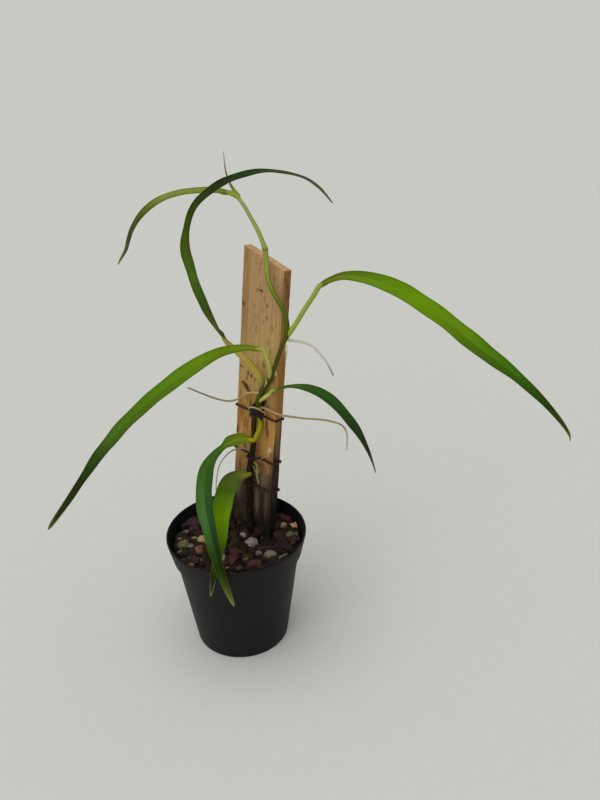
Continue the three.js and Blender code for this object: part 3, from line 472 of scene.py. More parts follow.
class Shape:
    """Points, faces and marks. A mark holds a value for each point, for the materials to read."""

    def __init__(self):
        self.points, self.faces, self.marks = [], [], {}

    def take(self, other):
        first = len(self.points)
        self.points += other.points
        self.faces += [tuple(first + i for i in face) for face in other.faces]
        for name, values in other.marks.items():
            self.marks.setdefault(name, []).extend(values)


def in_metres(points):
    return [Vector(point) * MM for point in points]


def on_broken_line(pairs, t):
    """Value at t of a broken line given as (t, value) pairs."""
    for (t0, v0), (t1, v1) in zip(pairs, pairs[1:]):
        if t <= t1:
            return v0 + (v1 - v0) * max(0, t - t0) / (t1 - t0)
    return pairs[-1][1]


def on_smooth_line(pairs, t):
    """Value at t of a smooth line through the pairs, which never swings past them."""
    rises = [(v1 - v0) / (t1 - t0) for (t0, v0), (t1, v1) in zip(pairs, pairs[1:])]
    inner = [0 if a * b <= 0 else 2 * a * b / (a + b) for a, b in zip(rises, rises[1:])]
    slopes = [rises[0], *inner, rises[-1]]
    for i, ((t0, v0), (t1, v1)) in enumerate(zip(pairs, pairs[1:])):
        if t <= t1:
            span = t1 - t0
            s = max(0, t - t0) / span
            ease = s * s * (3 - 2 * s)
            bend = slopes[i] * s * (1 - s) ** 2 - slopes[i + 1] * s * s * (1 - s)
            return v0 + (v1 - v0) * ease + bend * span
    return pairs[-1][1]


def on_spline(points, place, closed=False):
    """Point of a centripetal Catmull-Rom spline: place 0 is its first point, 1 its second."""
    count = len(points)
    low = min(int(place), count - 1 if closed else count - 2)
    s = place - low
    b, c = points[low], points[(low + 1) % count]
    a = points[low - 1] if closed or low > 0 else b * 2 - c
    d = points[(low + 2) % count] if closed or low + 2 < count else c * 2 - b
    ab, bc, cd = [max((q - p).length, 1e-9) ** 0.5 for p, q in ((a, b), (b, c), (c, d))]
    start = ((b - a) / ab - (c - a) / (ab + bc) + (c - b) / bc) * bc
    end = ((c - b) / bc - (d - b) / (bc + cd) + (d - c) / cd) * bc
    return (
        b * (2 * s**3 - 3 * s**2 + 1)
        + start * (s**3 - 2 * s**2 + s)
        + c * (3 * s**2 - 2 * s**3)
        + end * (s**3 - s**2)
    )


SPLINE_STEPS = 40


def evenly(points, count):
    """count points spaced evenly along the spline, and its length."""
    dense = [on_spline(points, i / SPLINE_STEPS) for i in range(SPLINE_STEPS * (len(points) - 1) + 1)]
    reach = [0]
    for p, q in zip(dense, dense[1:]):
        reach.append(reach[-1] + (q - p).length)
    found, i = [], 0
    for k in range(count):
        want = reach[-1] * k / (count - 1)
        while i < len(reach) - 2 and reach[i + 1] < want:
            i += 1
        found.append(dense[i].lerp(dense[i + 1], (want - reach[i]) / (reach[i + 1] - reach[i])))
    return found, reach[-1]


def heading(path, i, closed=False):
    """The way that a path runs at its point i."""
    before = path[i - 1] if closed or i > 0 else path[i]
    after = path[(i + 1) % len(path)] if closed or i < len(path) - 1 else path[i]
    return (after - before).normalized()


def skin(rings, closed=False):
    """Faces over rings of equal length, which run anticlockwise about the direction of travel."""
    shape = Shape()
    sides = len(rings[0])
    shape.points = [point for ring in rings for point in ring]
    for i in range(len(rings) if closed else len(rings) - 1):
        near, far = i * sides, ((i + 1) % len(rings)) * sides
        for k in range(sides):
            n = (k + 1) % sides
            shape.faces.append((near + k, near + n, far + n, far + k))
    if not closed:
        last = (len(rings) - 1) * sides
        shape.faces.append(tuple(reversed(range(sides))))
        shape.faces.append(tuple(range(last, last + sides)))
    return shape


ROUND_END = (0.35, 0.65, 0.87, 0.98)  # how far each of its rings has gone towards the tip


def rounded_end(row, way):
    """Rings that close a tube beyond its first or its last row."""
    centre, travel, share, radius = row
    rings = [(way * q, math.sqrt(1 - q * q)) for q in ROUND_END]
    return [(centre + travel * radius * beyond, travel, share, radius * size) for beyond, size in rings]


def tube(points, radii, sides=14, steps=10, closed=False, relief=None):
    """A round tube along a smooth route with rounded ends. radii holds one radius, or one a point.
    relief(share, angle, centre) scales the radius. growth marks each point's share of the way round,
    its share of the length and its metres from the start."""
    spans = len(points) if closed else len(points) - 1
    count = spans * steps
    places = [spans * i / count for i in range(count if closed else count + 1)]
    path = [on_spline(points, place, closed) for place in places]
    shares = [place / spans for place in places]
    headings = [heading(path, i, closed) for i in range(len(path))]

    def radius_at(share):
        if not isinstance(radii, (list, tuple)):
            return radii
        low = min(int(share * spans), spans - 1)
        return radii[low] + (radii[low + 1] - radii[low]) * (share * spans - low)

    rows = [(p, h, s, radius_at(s)) for p, h, s in zip(path, headings, shares)]
    if not closed:
        rows = rounded_end(rows[0], -1)[::-1] + rows + rounded_end(rows[-1], 1)
    side = Vector((1, 0.3, 0.1))
    rings, growth, reach = [], [], 0
    for i, (centre, travel, share, radius) in enumerate(rows):
        side = (side - travel * side.dot(travel)).normalized()
        up = travel.cross(side)
        reach += (centre - rows[i - 1][0]).length if i else 0
        ring = []
        for k in range(sides):
            angle = 2 * math.pi * k / sides
            size = radius * (relief(share, angle, centre) if relief else 1)
            ring.append(centre + (side * math.cos(angle) + up * math.sin(angle)) * size)
            growth.append((k / sides, share, reach))
        rings.append(ring)
    shape = skin(rings, closed)
    shape.marks["growth"] = growth
    return shape


def turned(profile, sides, wobble=None):
    """A shape turned about Z from radius and height pairs, the first and last of which are on the
    axis. wobble(radius, height, angle) moves a point of it."""
    rings = []
    for radius, height in profile[1:-1]:
        ring = []
        for k in range(sides):
            angle = 2 * math.pi * k / sides
            r, z = wobble(radius, height, angle) if wobble else (radius, height)
            ring.append(Vector((r * math.cos(angle), r * math.sin(angle), z)) * MM)
        rings.append(ring)
    shape = skin(rings)
    shape.faces = shape.faces[:-2]
    for ring, (_, height), flip in ((0, profile[0], True), (len(rings) - 1, profile[-1], False)):
        hub = len(shape.points)
        shape.points.append(Vector((0, 0, height)) * MM)
        for k in range(sides):
            a, b = ring * sides + k, ring * sides + (k + 1) % sides
            shape.faces.append((hub, b, a) if flip else (hub, a, b))
    return shape


def rounded(corners, steps=4):
    """An outline whose corners, each a point with a radius, are rounded off."""
    outline = []
    for i, (x, y, radius) in enumerate(corners):
        corner = Vector((x, y))
        if radius == 0:
            outline.append((x, y))
            continue
        ends = []
        for other in (corners[i - 1], corners[i + 1]):
            way = Vector(other[:2]) - corner
            ends.append(corner + way.normalized() * min(radius, 0.45 * way.length))
        for k in range(steps + 1):
            t = k / steps
            point = ends[0] * (1 - t) ** 2 + corner * 2 * t * (1 - t) + ends[1] * t * t
            outline.append((point.x, point.y))
    return outline


def add_piece(name, shape, material, replaces=(), crease=None):
    """Makes a piece of the plant, which stands for the CAD nodes it replaces."""
    mesh = bpy.data.meshes.new(name)
    mesh.from_pydata(shape.points, [], shape.faces)
    for mark, values in shape.marks.items():
        vector = isinstance(values[0], (tuple, Vector))
        kind, field = ("FLOAT_VECTOR", "vector") if vector else ("FLOAT", "value")
        flat = [x for value in values for x in value] if vector else values
        mesh.attributes.new(mark, kind, "POINT").data.foreach_set(field, flat)
    mesh.polygons.foreach_set("use_smooth", [True] * len(mesh.polygons))
    if crease:
        mesh.set_sharp_from_angle(angle=math.radians(crease))
    mesh.materials.append(material)
    piece = bpy.data.objects.new(name, mesh)
    bpy.context.scene.collection.objects.link(piece)
    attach(piece, "root")
    if replaces:
        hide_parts(*replaces)
    return piece


# Materials


def pot_polypropylene():
    """Injection-moulded black polypropylene: charcoal, matte, with a soft sheen and faint splash marks."""
    m, place = new_material("moulded_polypropylene")
    cloud = add(m, "TexNoise", {"Vector": place, "Scale": per(22), "Detail": 4})
    base = add(m, "ValToRGB", {"Fac": cloud}, [(0.3, "#0b0b0b"), (0.7, "#101010")])
    # Water that ran down the wall leaves pale streaks, 3 mm wide and 40 mm long
    streak = streaked(m, place, (per(3), per(3), per(40)), 3, 0.6)
    marks = add(m, "MapRange", {"Value": streak, "From Min": 0.58, "From Max": 0.82, "To Max": 0.14})
    base = stained(m, base, "#3a3a37", marks)
    # Soil dust lies on the rim, and more of it near the lip
    height = add(m, "SeparateXYZ", {0: place}, out="Z")
    grit = add(m, "TexNoise", {"Vector": place, "Scale": per(1.4), "Detail": 5})
    base = stained(m, base, "#352b24", (height, 0.07, 0.081), (grit, 0.55, 0.72), 0.3)
    gloss = add(m, "MapRange", {"Value": cloud, "To Min": 0.48, "To Max": 0.62})
    peel = add(m, "TexNoise", {"Vector": place, "Scale": per(0.7), "Detail": 2})
    return surfaced(m, base, gloss, 1.49, peel, 0.02, {"Specular IOR Level": 0.18})


def bark_mix():
    """Damp composted bark and peat: near black with red-brown flecks, crumbly and matte."""
    m, place = new_material("composted_bark_mix")
    lumps = add(m, "TexNoise", {"Vector": place, "Scale": per(4), "Detail": 6, "Roughness": 0.65})
    stops = [(0.3, "#0b0807"), (0.48, "#15100d"), (0.6, "#1f1612"), (0.75, "#30221c")]
    base = add(m, "ValToRGB", {"Fac": lumps}, stops)
    base = shaded(m, base, add(m, "TexVoronoi", {"Vector": place, "Scale": per(2.2)}), 0.35)
    fine = add(m, "TexNoise", {"Vector": place, "Scale": per(0.9), "Detail": 5})
    gloss = add(m, "MapRange", {"Value": lumps, "To Min": 0.7, "To Max": 1.0})
    return surfaced(m, base, gloss, 1.4, fine, 0.6, {"Specular IOR Level": 0.2})


def conifer_bark(name, dark, light):
    """Chipped conifer bark: corky layers with a purplish or reddish cast, dull and damp."""
    m, place = new_material("conifer_bark_" + name)
    # Cork layers, about 0.8 mm thick
    layers = streaked(m, place, (per(3), per(3), per(0.8)), 5, 0.6)
    base = add(m, "ValToRGB", {"Fac": layers}, [(0.32, dark), (0.68, light)])
    flecks = add(m, "TexNoise", {"Vector": place, "Scale": per(0.8), "Detail": 3})
    base = shaded(m, base, flecks, 0.3)
    # tint is a chip's own place between plum, brown and olive
    tint = add(m, "Attribute", out="Fac", attribute_name="tint")
    stops = [(0, "#34222a"), (0.3, "#2c201a"), (0.5, light), (0.7, "#33301f"), (1, "#40281f")]
    cast = add(m, "ValToRGB", {"Fac": tint}, stops)
    base = stained(m, base, shaded(m, cast, layers, 0.5), 0.4)
    base = shaded(m, base, tint, 0.35)
    return surfaced(m, base, 0.8, 1.4, layers, 0.35, {"Specular IOR Level": 0.15})


def soiled(m, base, place, colour, foot, strength):
    """Base with damp soil on it up to 3.5 mm over the mix, thickest from foot millimetres down."""
    height = add(m, "SeparateXYZ", {0: place}, out="Z")
    clean, deep = (MIX_LEVEL + 3.5) * MM, (MIX_LEVEL + foot) * MM
    rise = {"Value": height, "From Min": clean, "From Max": deep, "To Max": strength}
    return stained(m, base, colour, add(m, "MapRange", rise))


def river_grit(name, dark, light):
    """Water-worn grit: dull stone with fine speckles and a thin film of soil."""
    m, place = new_material("river_grit_" + name)
    veins = add(m, "TexNoise", {"Vector": place, "Scale": per(2.4), "Detail": 5})
    base = add(m, "ValToRGB", {"Fac": veins}, [(0.35, dark), (0.65, light)])
    speckle = add(m, "TexNoise", {"Vector": place, "Scale": per(0.5), "Detail": 2})
    base = soiled(m, shaded(m, base, speckle, 0.25), place, "#2a1f19", 0.5, 0.75)
    return surfaced(m, base, 0.62, 1.52, speckle, 0.08)


def expanded_perlite(name, dark, light):
    """Expanded perlite: chalky off-white glass foam, pitted, with painted shade in its pits, and stained
    by the damp mix round its foot.
    """
    m, place = new_material("expanded_perlite_" + name)
    pits = add(m, "TexVoronoi", {"Vector": place, "Scale": per(1.1)})
    # Painted shade: the ramp is darker where the pits sink in
    base = add(m, "ValToRGB", {"Fac": pits}, [(0.1, light), (0.75, dark)])
    cloud = add(m, "TexNoise", {"Vector": place, "Scale": per(1.8), "Detail": 5})
    base = soiled(m, shaded(m, base, cloud, 0.22), place, "#3c2e25", 0.2, 0.8)
    return surfaced(m, base, 0.88, 1.5, pits, -0.25)


MARK_COLOURS = {
    "dark": "#2f1d0c",
    "red": "#7a3c28",
    "pale": "#cdb084",
    "gold": "#8f5f1c",
    "soil": "#7a6b50",
}


def sawn_softwood():
    """Bare sawn softwood: straight grain and dark flecks, tan where dry, orange-brown where damp
    and nearly black where wet. board marks where a point lies across, along and through it."""
    m, _ = new_material("sawn_softwood")
    board = add(m, "Attribute", out="Vector", attribute_name="board")
    across, along, through = add(m, "SeparateXYZ", {0: board}).node.outputs
    # Growth rings show as bands 2 to 3 mm wide that wander slowly along the board
    sway = streaked(m, board, (per(9), per(60), per(9)), 2)
    bent = add(m, "Math", {0: sway, 1: 0.012, 2: across}, operation="MULTIPLY_ADD")
    deep = add(m, "Math", {0: through, 1: 0.6, 2: bent}, operation="MULTIPLY_ADD")
    ring = add(m, "CombineXYZ", {0: deep})
    rings = add(m, "TexWave", {"Vector": ring, "Scale": per(16), "Distortion": 1.2, "Detail": 2}, out=1)
    # Fibres, 0.5 mm wide and 25 mm long, in broader bands
    fibres = streaked(m, board, (per(0.5), per(25), per(0.5)), 4, 0.6)
    bands = streaked(m, board, (per(4), per(45), per(4)), 3)
    # Colour up the board, from the mix to the top. The damp edge wanders by a few millimetres, and it
    # stands a little higher on the right.
    wander = streaked(m, board, (per(7), per(16), per(7)), 3)
    shifted = add(m, "Math", {0: wander, 1: 0.03, 2: along}, operation="MULTIPLY_ADD")
    tilted = add(m, "Math", {0: across, 1: -0.35, 2: shifted}, operation="MULTIPLY_ADD")
    up = add(m, "MapRange", {"Value": tilted, "From Min": 0.015, "From Max": 0.195})
    stops = [(0, "#1d1713"), (0.12, "#382c20"), (0.2, "#57432d"), (0.26, "#946c40"), (0.32, "#b38a4a"),
             (0.46, "#a87c40"), (0.56, "#ad8950"), (0.66, "#b6995f"), (0.8, "#ab8960"), (1, "#b08c60")]
    face = add(m, "ValToRGB", {"Fac": up}, stops)
    stops = [(0, "#0e0b09"), (0.25, "#15100c"), (0.31, "#564029"), (0.38, "#8a643b"), (0.52, "#a0743e"),
             (0.62, "#aa7a44"), (0.72, "#8c683a"), (0.82, "#906c3c"), (1, "#886234")]
    edge = add(m, "ValToRGB", {"Fac": up}, stops)
    base = stained(m, face, edge, (across, 0.0171, 0.0174))
    # Wet wood is patchy: brown where it has begun to dry, black where the mix keeps it wet
    wet = (up, 0.36, 0.22)
    damp = streaked(m, board, (per(6), per(13), per(6)), 4, 0.6)
    base = stained(m, base, "#4a3a28", (damp, 0.48, 0.66), wet, 0.55)
    # A band of golden heartwood runs up the left side
    heart = ((across, -0.0105, -0.013), (bands, 0.3, 0.7), (along, 0.09, 0.12))
    base = stained(m, base, "#8b622a", *heart, 0.55)
    for pattern, amount in ((rings, 0.07), (fibres, 0.36), (bands, 0.2)):
        base = shaded(m, base, pattern, amount)
    # The sawn top end is paler, with darker pores
    end = add(m, "Attribute", out="Fac", attribute_name="end_grain")
    pores = add(m, "TexNoise", {"Vector": board, "Scale": per(0.8), "Detail": 4})
    sawn = add(m, "ValToRGB", {"Fac": pores}, [(0.3, "#ae8d5e"), (0.65, "#d4b280")])
    base = stained(m, base, shaded(m, sawn, rings, 0.12), end)
    # Dark flecks lie along the grain: many fine ones 0.6 mm wide, and a few that are twice as large
    for width, length, start, strength in ((0.55, 2.6, 0.58, 0.42), (1.1, 5, 0.64, 0.6)):
        spots = streaked(m, board, (per(width), per(length), per(width)), 2)
        rise = {"Value": spots, "From Min": start, "From Max": start + 0.12, "To Max": strength}
        base = stained(m, base, "#4a3216", add(m, "MapRange", rise))
    for kind, colour in MARK_COLOURS.items():
        base = stained(m, base, colour, add(m, "Attribute", out="Fac", attribute_name="mark_" + kind))
    gloss = add(m, "MapRange", {"Value": wet, "To Min": 0.82, "To Max": 0.6})
    return surfaced(m, base, gloss, 1.45, fibres, 0.14, {"Specular IOR Level": 0.15})


def coated_wire():
    """Steel garden wire in a dark brown PVC coat: smooth and slightly glossy, dusted with soil."""
    m, place = new_material("pvc_coated_wire")
    dust = add(m, "TexNoise", {"Vector": place, "Scale": per(1.5), "Detail": 4})
    base = add(m, "ValToRGB", {"Fac": dust}, [(0.4, "#220e0b"), (0.7, "#412019")])
    gloss = add(m, "MapRange", {"Value": dust, "To Min": 0.45, "To Max": 0.7})
    return surfaced(m, base, gloss, 1.53, dust, 0.05, {"Specular IOR Level": 0.3})


PAINTED_LIGHT_FROM = (0.1, -0.94, 0.32)  # the way to the front, from which light and shade are painted on the stem and stalks


def painted_light_side(m):
    """How squarely a skin faces the front, from which its painted light comes: 1 towards it, and -1 away
    from it.
    """
    normal = add(m, "NewGeometry", out="Normal")
    return add(m, "VectorMath", {0: normal, 1: PAINTED_LIGHT_FROM}, out="Value", operation="DOT_PRODUCT")


def stem_skin():
    """Climbing stem: corky and nearly black at its foot, smooth olive and then light green above,
    with a dark ring at each node, painted shade on the sides that face away from the front, and a
    painted highlight down its front where it is green."""
    m, place = new_material("climbing_stem_skin")
    growth = add(m, "Attribute", out="Vector", attribute_name="growth")
    height = add(m, "SeparateXYZ", {0: place}, out="Z")
    up = add(m, "MapRange", {"Value": height, "From Min": 0.07, "From Max": 0.286})
    stops = [(0, "#17110a"), (0.25, "#221a0b"), (0.34, "#2c230c"), (0.38, "#32300f"), (0.44, "#41490f"),
             (0.56, "#43420c"), (0.65, "#464a0c"), (0.71, "#3c5008"), (0.76, "#596910"), (0.82, "#7f8834"),
             (1, "#8a944e")]
    base = add(m, "ValToRGB", {"Fac": up}, stops)
    # Shallow furrows run along the stem, about 0.7 mm apart
    furrows = streaked(m, growth, (14, 1, per(6)), 4)
    base = shaded(m, base, furrows, 0.25)
    cork = add(m, "TexNoise", {"Vector": place, "Scale": per(1.6), "Detail": 5})
    old = (height, 0.185, 0.155)
    base = stained(m, base, "#4b3a24", old, (cork, 0.55, 0.7), 0.5)
    # Painted shade darkens the sides that face away from the front, and where it is green a painted
    # highlight runs pale down the side that faces the front
    toward_painted_light = painted_light_side(m)
    lit = add(m, "Math", {0: (toward_painted_light, 0.2, 0.85), 1: 0.8, 2: 0.1}, operation="MULTIPLY_ADD")
    base = shaded(m, base, lit, 0.22)
    base = stained(m, base, "#a0a952", (toward_painted_light, 0.84, 0.98), (height, 0.226, 0.242), 0.35)
    node = add(m, "Attribute", out="Fac", attribute_name="node")
    base = stained(m, base, "#3c4410", node, (height, 0.14, 0.17))
    gloss = add(m, "MapRange", {"Value": old, "To Min": 0.45, "To Max": 0.85})
    return surfaced(m, base, gloss, 1.43, furrows, 0.15, {"Specular IOR Level": 0.12})


# Light passes a little way through a living leaf or stalk and comes out greener
LIVING_TISSUE = {
    "Subsurface Weight": 0.2,
    "Subsurface Radius": (0.5, 1.0, 0.1),
    "Subsurface Scale": 0.6 * MM,
    "Specular IOR Level": 0.14,
    "Specular Tint": linear("#dce45c"),
}


def stalk_skin(name, stops):
    """Leaf stalk: smooth yellow-green skin with fine lengthwise ribs and a soft waxy sheen."""
    m, place = new_material("stalk_skin_" + name)
    growth = add(m, "Attribute", out="Vector", attribute_name="growth")
    base = add(m, "ValToRGB", {"Fac": add(m, "SeparateXYZ", {0: growth}, out="Y")}, stops)
    lines = streaked(m, growth, (16, 1, per(9)), 3)
    cloud = add(m, "TexNoise", {"Vector": place, "Scale": per(3), "Detail": 3})
    # The last of these patterns is painted shade: the stalk is darker on the sides that face away from the
    # front
    for pattern, amount in ((lines, 0.14), (cloud, 0.1), ((painted_light_side(m), 0.1, 0.9), 0.14)):
        base = shaded(m, base, pattern, amount)
    return surfaced(m, base, 0.42, 1.45, lines, 0.06, LIVING_TISSUE)


VEIN_SPACING = 3.2
RIB_WIDTH = 0.55
PLAIN_RIB = [(0, 0.4), (0.08, 0.12), (0.5, 0.03)]
MARGIN_WIDTH = 0.35


def leaf_cuticle(name, colours, fold, rib_strength):
    """Living leaf blade: green tissue under a waxy cuticle with a satin gloss. A sunken midrib, faint
    slanting side veins and a hair-fine pale margin show; the underside is paler and duller.
    growth marks metres off the midrib, share of the length and metres from the foot."""
    m, place = new_material("leaf_cuticle_" + name)
    growth = add(m, "Attribute", out="Vector", attribute_name="growth")
    off, share, reach = add(m, "SeparateXYZ", {0: growth}).node.outputs
    to_edge = add(m, "Attribute", out="Fac", attribute_name="to_edge")
    under = add(m, "Attribute", out="Fac", attribute_name="underside")
    base = add(m, "ValToRGB", {"Fac": share}, colours)
    # Painted light and shade: the half shade says, along the blade, how much lighter the half on the side
    # of positive off is painted than the other
    lean = add(m, "ValToRGB", {"Fac": share}, [(t, 0.5 + amount / 2) for t, amount in fold])
    half = add(m, "Math", {0: (off, -0.0007, 0.0007), 1: 2, 2: -1}, operation="MULTIPLY_ADD")
    leaning = add(m, "Math", {0: lean, 1: 0.5}, operation="SUBTRACT")
    tone = add(m, "Math", {0: half, 1: leaning, 2: 0.5}, operation="MULTIPLY_ADD")
    base = shaded(m, base, tone, 1)
    # Side veins leave the midrib every 3 mm and slant towards the tip
    distance = add(m, "Math", {0: off}, operation="ABSOLUTE")
    slant = add(m, "Math", {0: distance, 1: -1.6, 2: reach}, operation="MULTIPLY_ADD")
    wave = add(m, "Math", {0: slant, 1: 2 * math.pi * per(VEIN_SPACING)}, operation="MULTIPLY")
    veins = (add(m, "Math", {0: wave}, operation="SINE"), 0.55, 1)
    base = stained(m, base, "#8fae4a", veins, 0.035)
    # Patches some 16 mm long where the green is a little fuller, and a fine mottle of cells
    patch = streaked(m, growth, (per(5), 1, per(16)), 3)
    cells = add(m, "TexNoise", {"Vector": place, "Scale": per(0.8), "Detail": 2})
    base = shaded(m, shaded(m, base, patch, 0.16), cells, 0.07)
    # Painted shade darkens the blade towards its margins
    painted_edge_shade = add(m, "Math", {0: (to_edge, 0.0018, 0.0003), 1: -0.5, 2: 0.5}, operation="MULTIPLY_ADD")
    base = shaded(m, base, painted_edge_shade, 0.3)
    # The stalk's yellow runs on into the midrib
    strength = add(m, "ValToRGB", {"Fac": share}, rib_strength)
    base = stained(m, base, "#949c28", (distance, RIB_WIDTH * MM, 0.2 * RIB_WIDTH * MM), strength)
    base = stained(m, base, "#9aa858", (to_edge, MARGIN_WIDTH * MM, 0.1 * MARGIN_WIDTH * MM), 0.16)
    # Near the tip the outermost millimetre has dried to paper
    base = stained(m, base, "#7f8064", (share, 0.84, 0.95), (to_edge, 0.0011, 0.0002), 0.4)
    base = stained(m, base, "#7f9650", under, 0.22)
    dull = add(m, "MapRange", {"Value": under, "To Min": 0.46, "To Max": 0.62})
    gloss = add(m, "Math", {0: patch, 1: 0.12, 2: dull}, operation="MULTIPLY_ADD")
    relief = add(m, "Math", {0: cells, 1: 0.35, 2: veins}, operation="MULTIPLY_ADD")
    return surfaced(m, base, gloss, 1.45, relief, 0.035, LIVING_TISSUE)


def root_rind(name, colours):
    """Aerial root: dry papery rind over a firm core, matte and slightly scurfy."""
    m, place = new_material("root_rind_" + name)
    growth = add(m, "Attribute", out="Vector", attribute_name="growth")
    share = add(m, "SeparateXYZ", {0: growth}, out="Y")
    stops = [(i / (len(colours) - 1), colour) for i, colour in enumerate(colours)]
    base = add(m, "ValToRGB", {"Fac": share}, stops)
    scurf = add(m, "TexNoise", {"Vector": place, "Scale": per(0.9), "Detail": 5})
    blotch = add(m, "TexNoise", {"Vector": place, "Scale": per(5), "Detail": 3})
    base = shaded(m, shaded(m, base, scurf, 0.3), blotch, 0.2)
    return surfaced(m, base, 0.8, 1.4, scurf, 0.1)


def fresh_root():
    """Feeder root: pale fleshy rind with fine cross wrinkles, damp from the mix."""
    m, place = new_material("fresh_root_flesh")
    wrinkles = add(m, "TexNoise", {"Vector": place, "Scale": per(1.2), "Detail": 5})
    base = add(m, "ValToRGB", {"Fac": wrinkles}, [(0.3, "#a08660"), (0.7, "#d2bd92")])
    return surfaced(m, base, 0.55, 1.4, wrinkles, 0.1)


def studio_paper():
    """Plain pale studio paper: even, matte and very faintly grained."""
    m, place = new_material("studio_paper")
    tooth = add(m, "TexNoise", {"Vector": place, "Scale": per(6), "Detail": 3})
    base = shaded(m, linear("#cfcfcb"), tooth, 0.02)
    return surfaced(m, base, 0.95, 1.45, tooth, 0.02, {"Specular IOR Level": 0.1})


# Pot


def make_pot():
    step = POT_HEIGHT - RIM_DEPTH
    inner_top, inner_foot = RIM_RADIUS - POT_WALL, RIM_FOOT_RADIUS - POT_WALL
    corners = [
        (0, 0, 0),
        (PAD_RADIUS, 0, 0.4),
        (PAD_RADIUS + 1, FOOT_HEIGHT, 0.4),
        (FOOT_INNER_RADIUS - 1, FOOT_HEIGHT, 0.4),
        (FOOT_INNER_RADIUS, 0, 0.4),
        (BASE_RADIUS - 0.6, 0, 0.5),
        (BASE_RADIUS, 0.8, 0.6),
        (BODY_TOP_RADIUS, step - 0.6, 0.9),
        (RIM_FOOT_RADIUS - 0.3, step, 0.5),
        (RIM_FOOT_RADIUS, step + 0.9, 0.5),
        (RIM_RADIUS, POT_HEIGHT - 0.8, 0.5),
        (RIM_RADIUS - 0.35, POT_HEIGHT, 0.4),
        (inner_top + 0.3, POT_HEIGHT, 0.3),
        (inner_top, POT_HEIGHT - 0.6, 0.4),
        (inner_foot, step + 1.5, 0.8),
        (BODY_TOP_RADIUS - POT_WALL, step - 0.5, 0.8),
        (BASE_RADIUS - POT_WALL + 0.4, FLOOR_TOP, 1.2),
        (0, FLOOR_TOP, 0),
    ]
    shape = turned(rounded(corners), POT_SIDES)
    pot = add_piece("pot_moulding", shape, pot_polypropylene(), ["pot"], crease=POT_CREASE)
    drill_drain_holes(pot)


def drill_drain_holes(pot):
    """Cuts a ring of round holes through the pot's floor."""
    drills = Shape()
    for i in range(DRAIN_HOLES):
        angle = 2 * math.pi * i / DRAIN_HOLES
        hole = turned([(0, -2), (DRAIN_RADIUS, -2), (DRAIN_RADIUS, FLOOR_TOP + 2), (0, FLOOR_TOP + 2)], 32)
        shift = Vector((math.cos(angle), math.sin(angle), 0)) * DRAIN_CIRCLE * MM
        hole.points = [point + shift for point in hole.points]
        drills.take(hole)
    mesh = bpy.data.meshes.new("drills")
    mesh.from_pydata(drills.points, [], drills.faces)
    tool = bpy.data.objects.new("drills", mesh)
    bpy.context.scene.collection.objects.link(tool)
    cut = pot.modifiers.new("drain_holes", "BOOLEAN")
    cut.operation, cut.solver, cut.object = "DIFFERENCE", "EXACT", tool
    ready = pot.evaluated_get(bpy.context.evaluated_depsgraph_get())
    drilled = bpy.data.meshes.new_from_object(ready)
    pot.modifiers.clear()
    pot.data = drilled
    drilled.set_sharp_from_angle(angle=math.radians(POT_CREASE))
    bpy.data.objects.remove(tool)


# Potting mix


def mix_height(x, y):
    """Height of the mix's surface in millimetres."""
    radius, angle = math.hypot(x, y), math.atan2(y, x)
    swell = 0.4 * (math.sin(radius * 0.21 + 2 * angle) + math.cos(radius * 0.13 - 3 * angle))
    lumps = 1.3 * noise.fractal(Vector((x, y, 0)) / 5, 0.8, 2.1, 4)
    return MIX_LEVEL + swell + lumps


def make_mix():
    """The bed of mix: it fills the pot, and its rings lie closer together towards the wall."""
    wall = [
        (BASE_RADIUS - POT_WALL + 0.1, FLOOR_TOP + 0.3),
        (BODY_TOP_RADIUS - POT_WALL - 0.3, POT_HEIGHT - RIM_DEPTH - 0.5),
        (RIM_FOOT_RADIUS - POT_WALL - 0.3, POT_HEIGHT - RIM_DEPTH + 1.5),
        (MIX_RADIUS, MIX_LEVEL - 1.2),
    ]
    top = [(MIX_RADIUS * (1 - i / MIX_RINGS) ** 0.9, None) for i in range(1, MIX_RINGS)]

    def laid(radius, height, angle):
        if height is None:
            height = mix_height(radius * math.cos(angle), radius * math.sin(angle))
        return radius, height

    profile = [(0, FLOOR_TOP + 0.3), *wall, *top, (0, mix_height(0, 0))]
    add_piece("mix_bed", turned(profile, MIX_SIDES, laid), bark_mix(), ["potting_mix"])


BALLS = {}


def ball(detail):
    """Directions and faces of a ball of triangles, kept for the next lump."""
    if detail not in BALLS:
        made = bmesh.new()
        bmesh.ops.create_icosphere(made, subdivisions=detail, radius=1)
        made.verts.ensure_lookup_table()
        faces = [tuple(v.index for v in face.verts) for face in made.faces]
        BALLS[detail] = ([v.co.copy() for v in made.verts], faces)
        made.free()
    return BALLS[detail]


def lump(size, turn, place, seed, detail=4, squareness=2.0, roughness=0.15, grain=1.5, layer=0, pits=0):
    """A rough lump in millimetres, cut off at the pot's wall. squareness 2 is a ball and more is
    boxier; layer is the height of the steps that its sides break in; pits is the depth of small
    round holes."""
    directions, faces = ball(detail)
    offset = Vector((seed * 7.31, seed * 3.17, seed * 1.93))
    shape = Shape()
    for d in directions:
        reach = sum(abs(c) ** squareness for c in d) ** (-1 / squareness)
        point = Vector((d.x * size[0], d.y * size[1], d.z * size[2])) * reach / 2
        point *= 1 + roughness * noise.fractal(d * grain + offset, 0.7, 2.2, 4)
        if layer:
            step = (point.z / layer + 40) % 1
            point *= 1 - 0.09 * math.sin(math.pi * step) ** 8
        if pits:
            nearest = noise.voronoi(point * 0.85 + offset)[0][0]
            point -= d * pits * max(0, 1 - 2.2 * nearest)
        point = turn @ point + Vector(place)
        point.xy *= min(1, MIX_RADIUS / point.xy.length)
        shape.points.append(point * MM)
    shape.faces = faces
    return shape


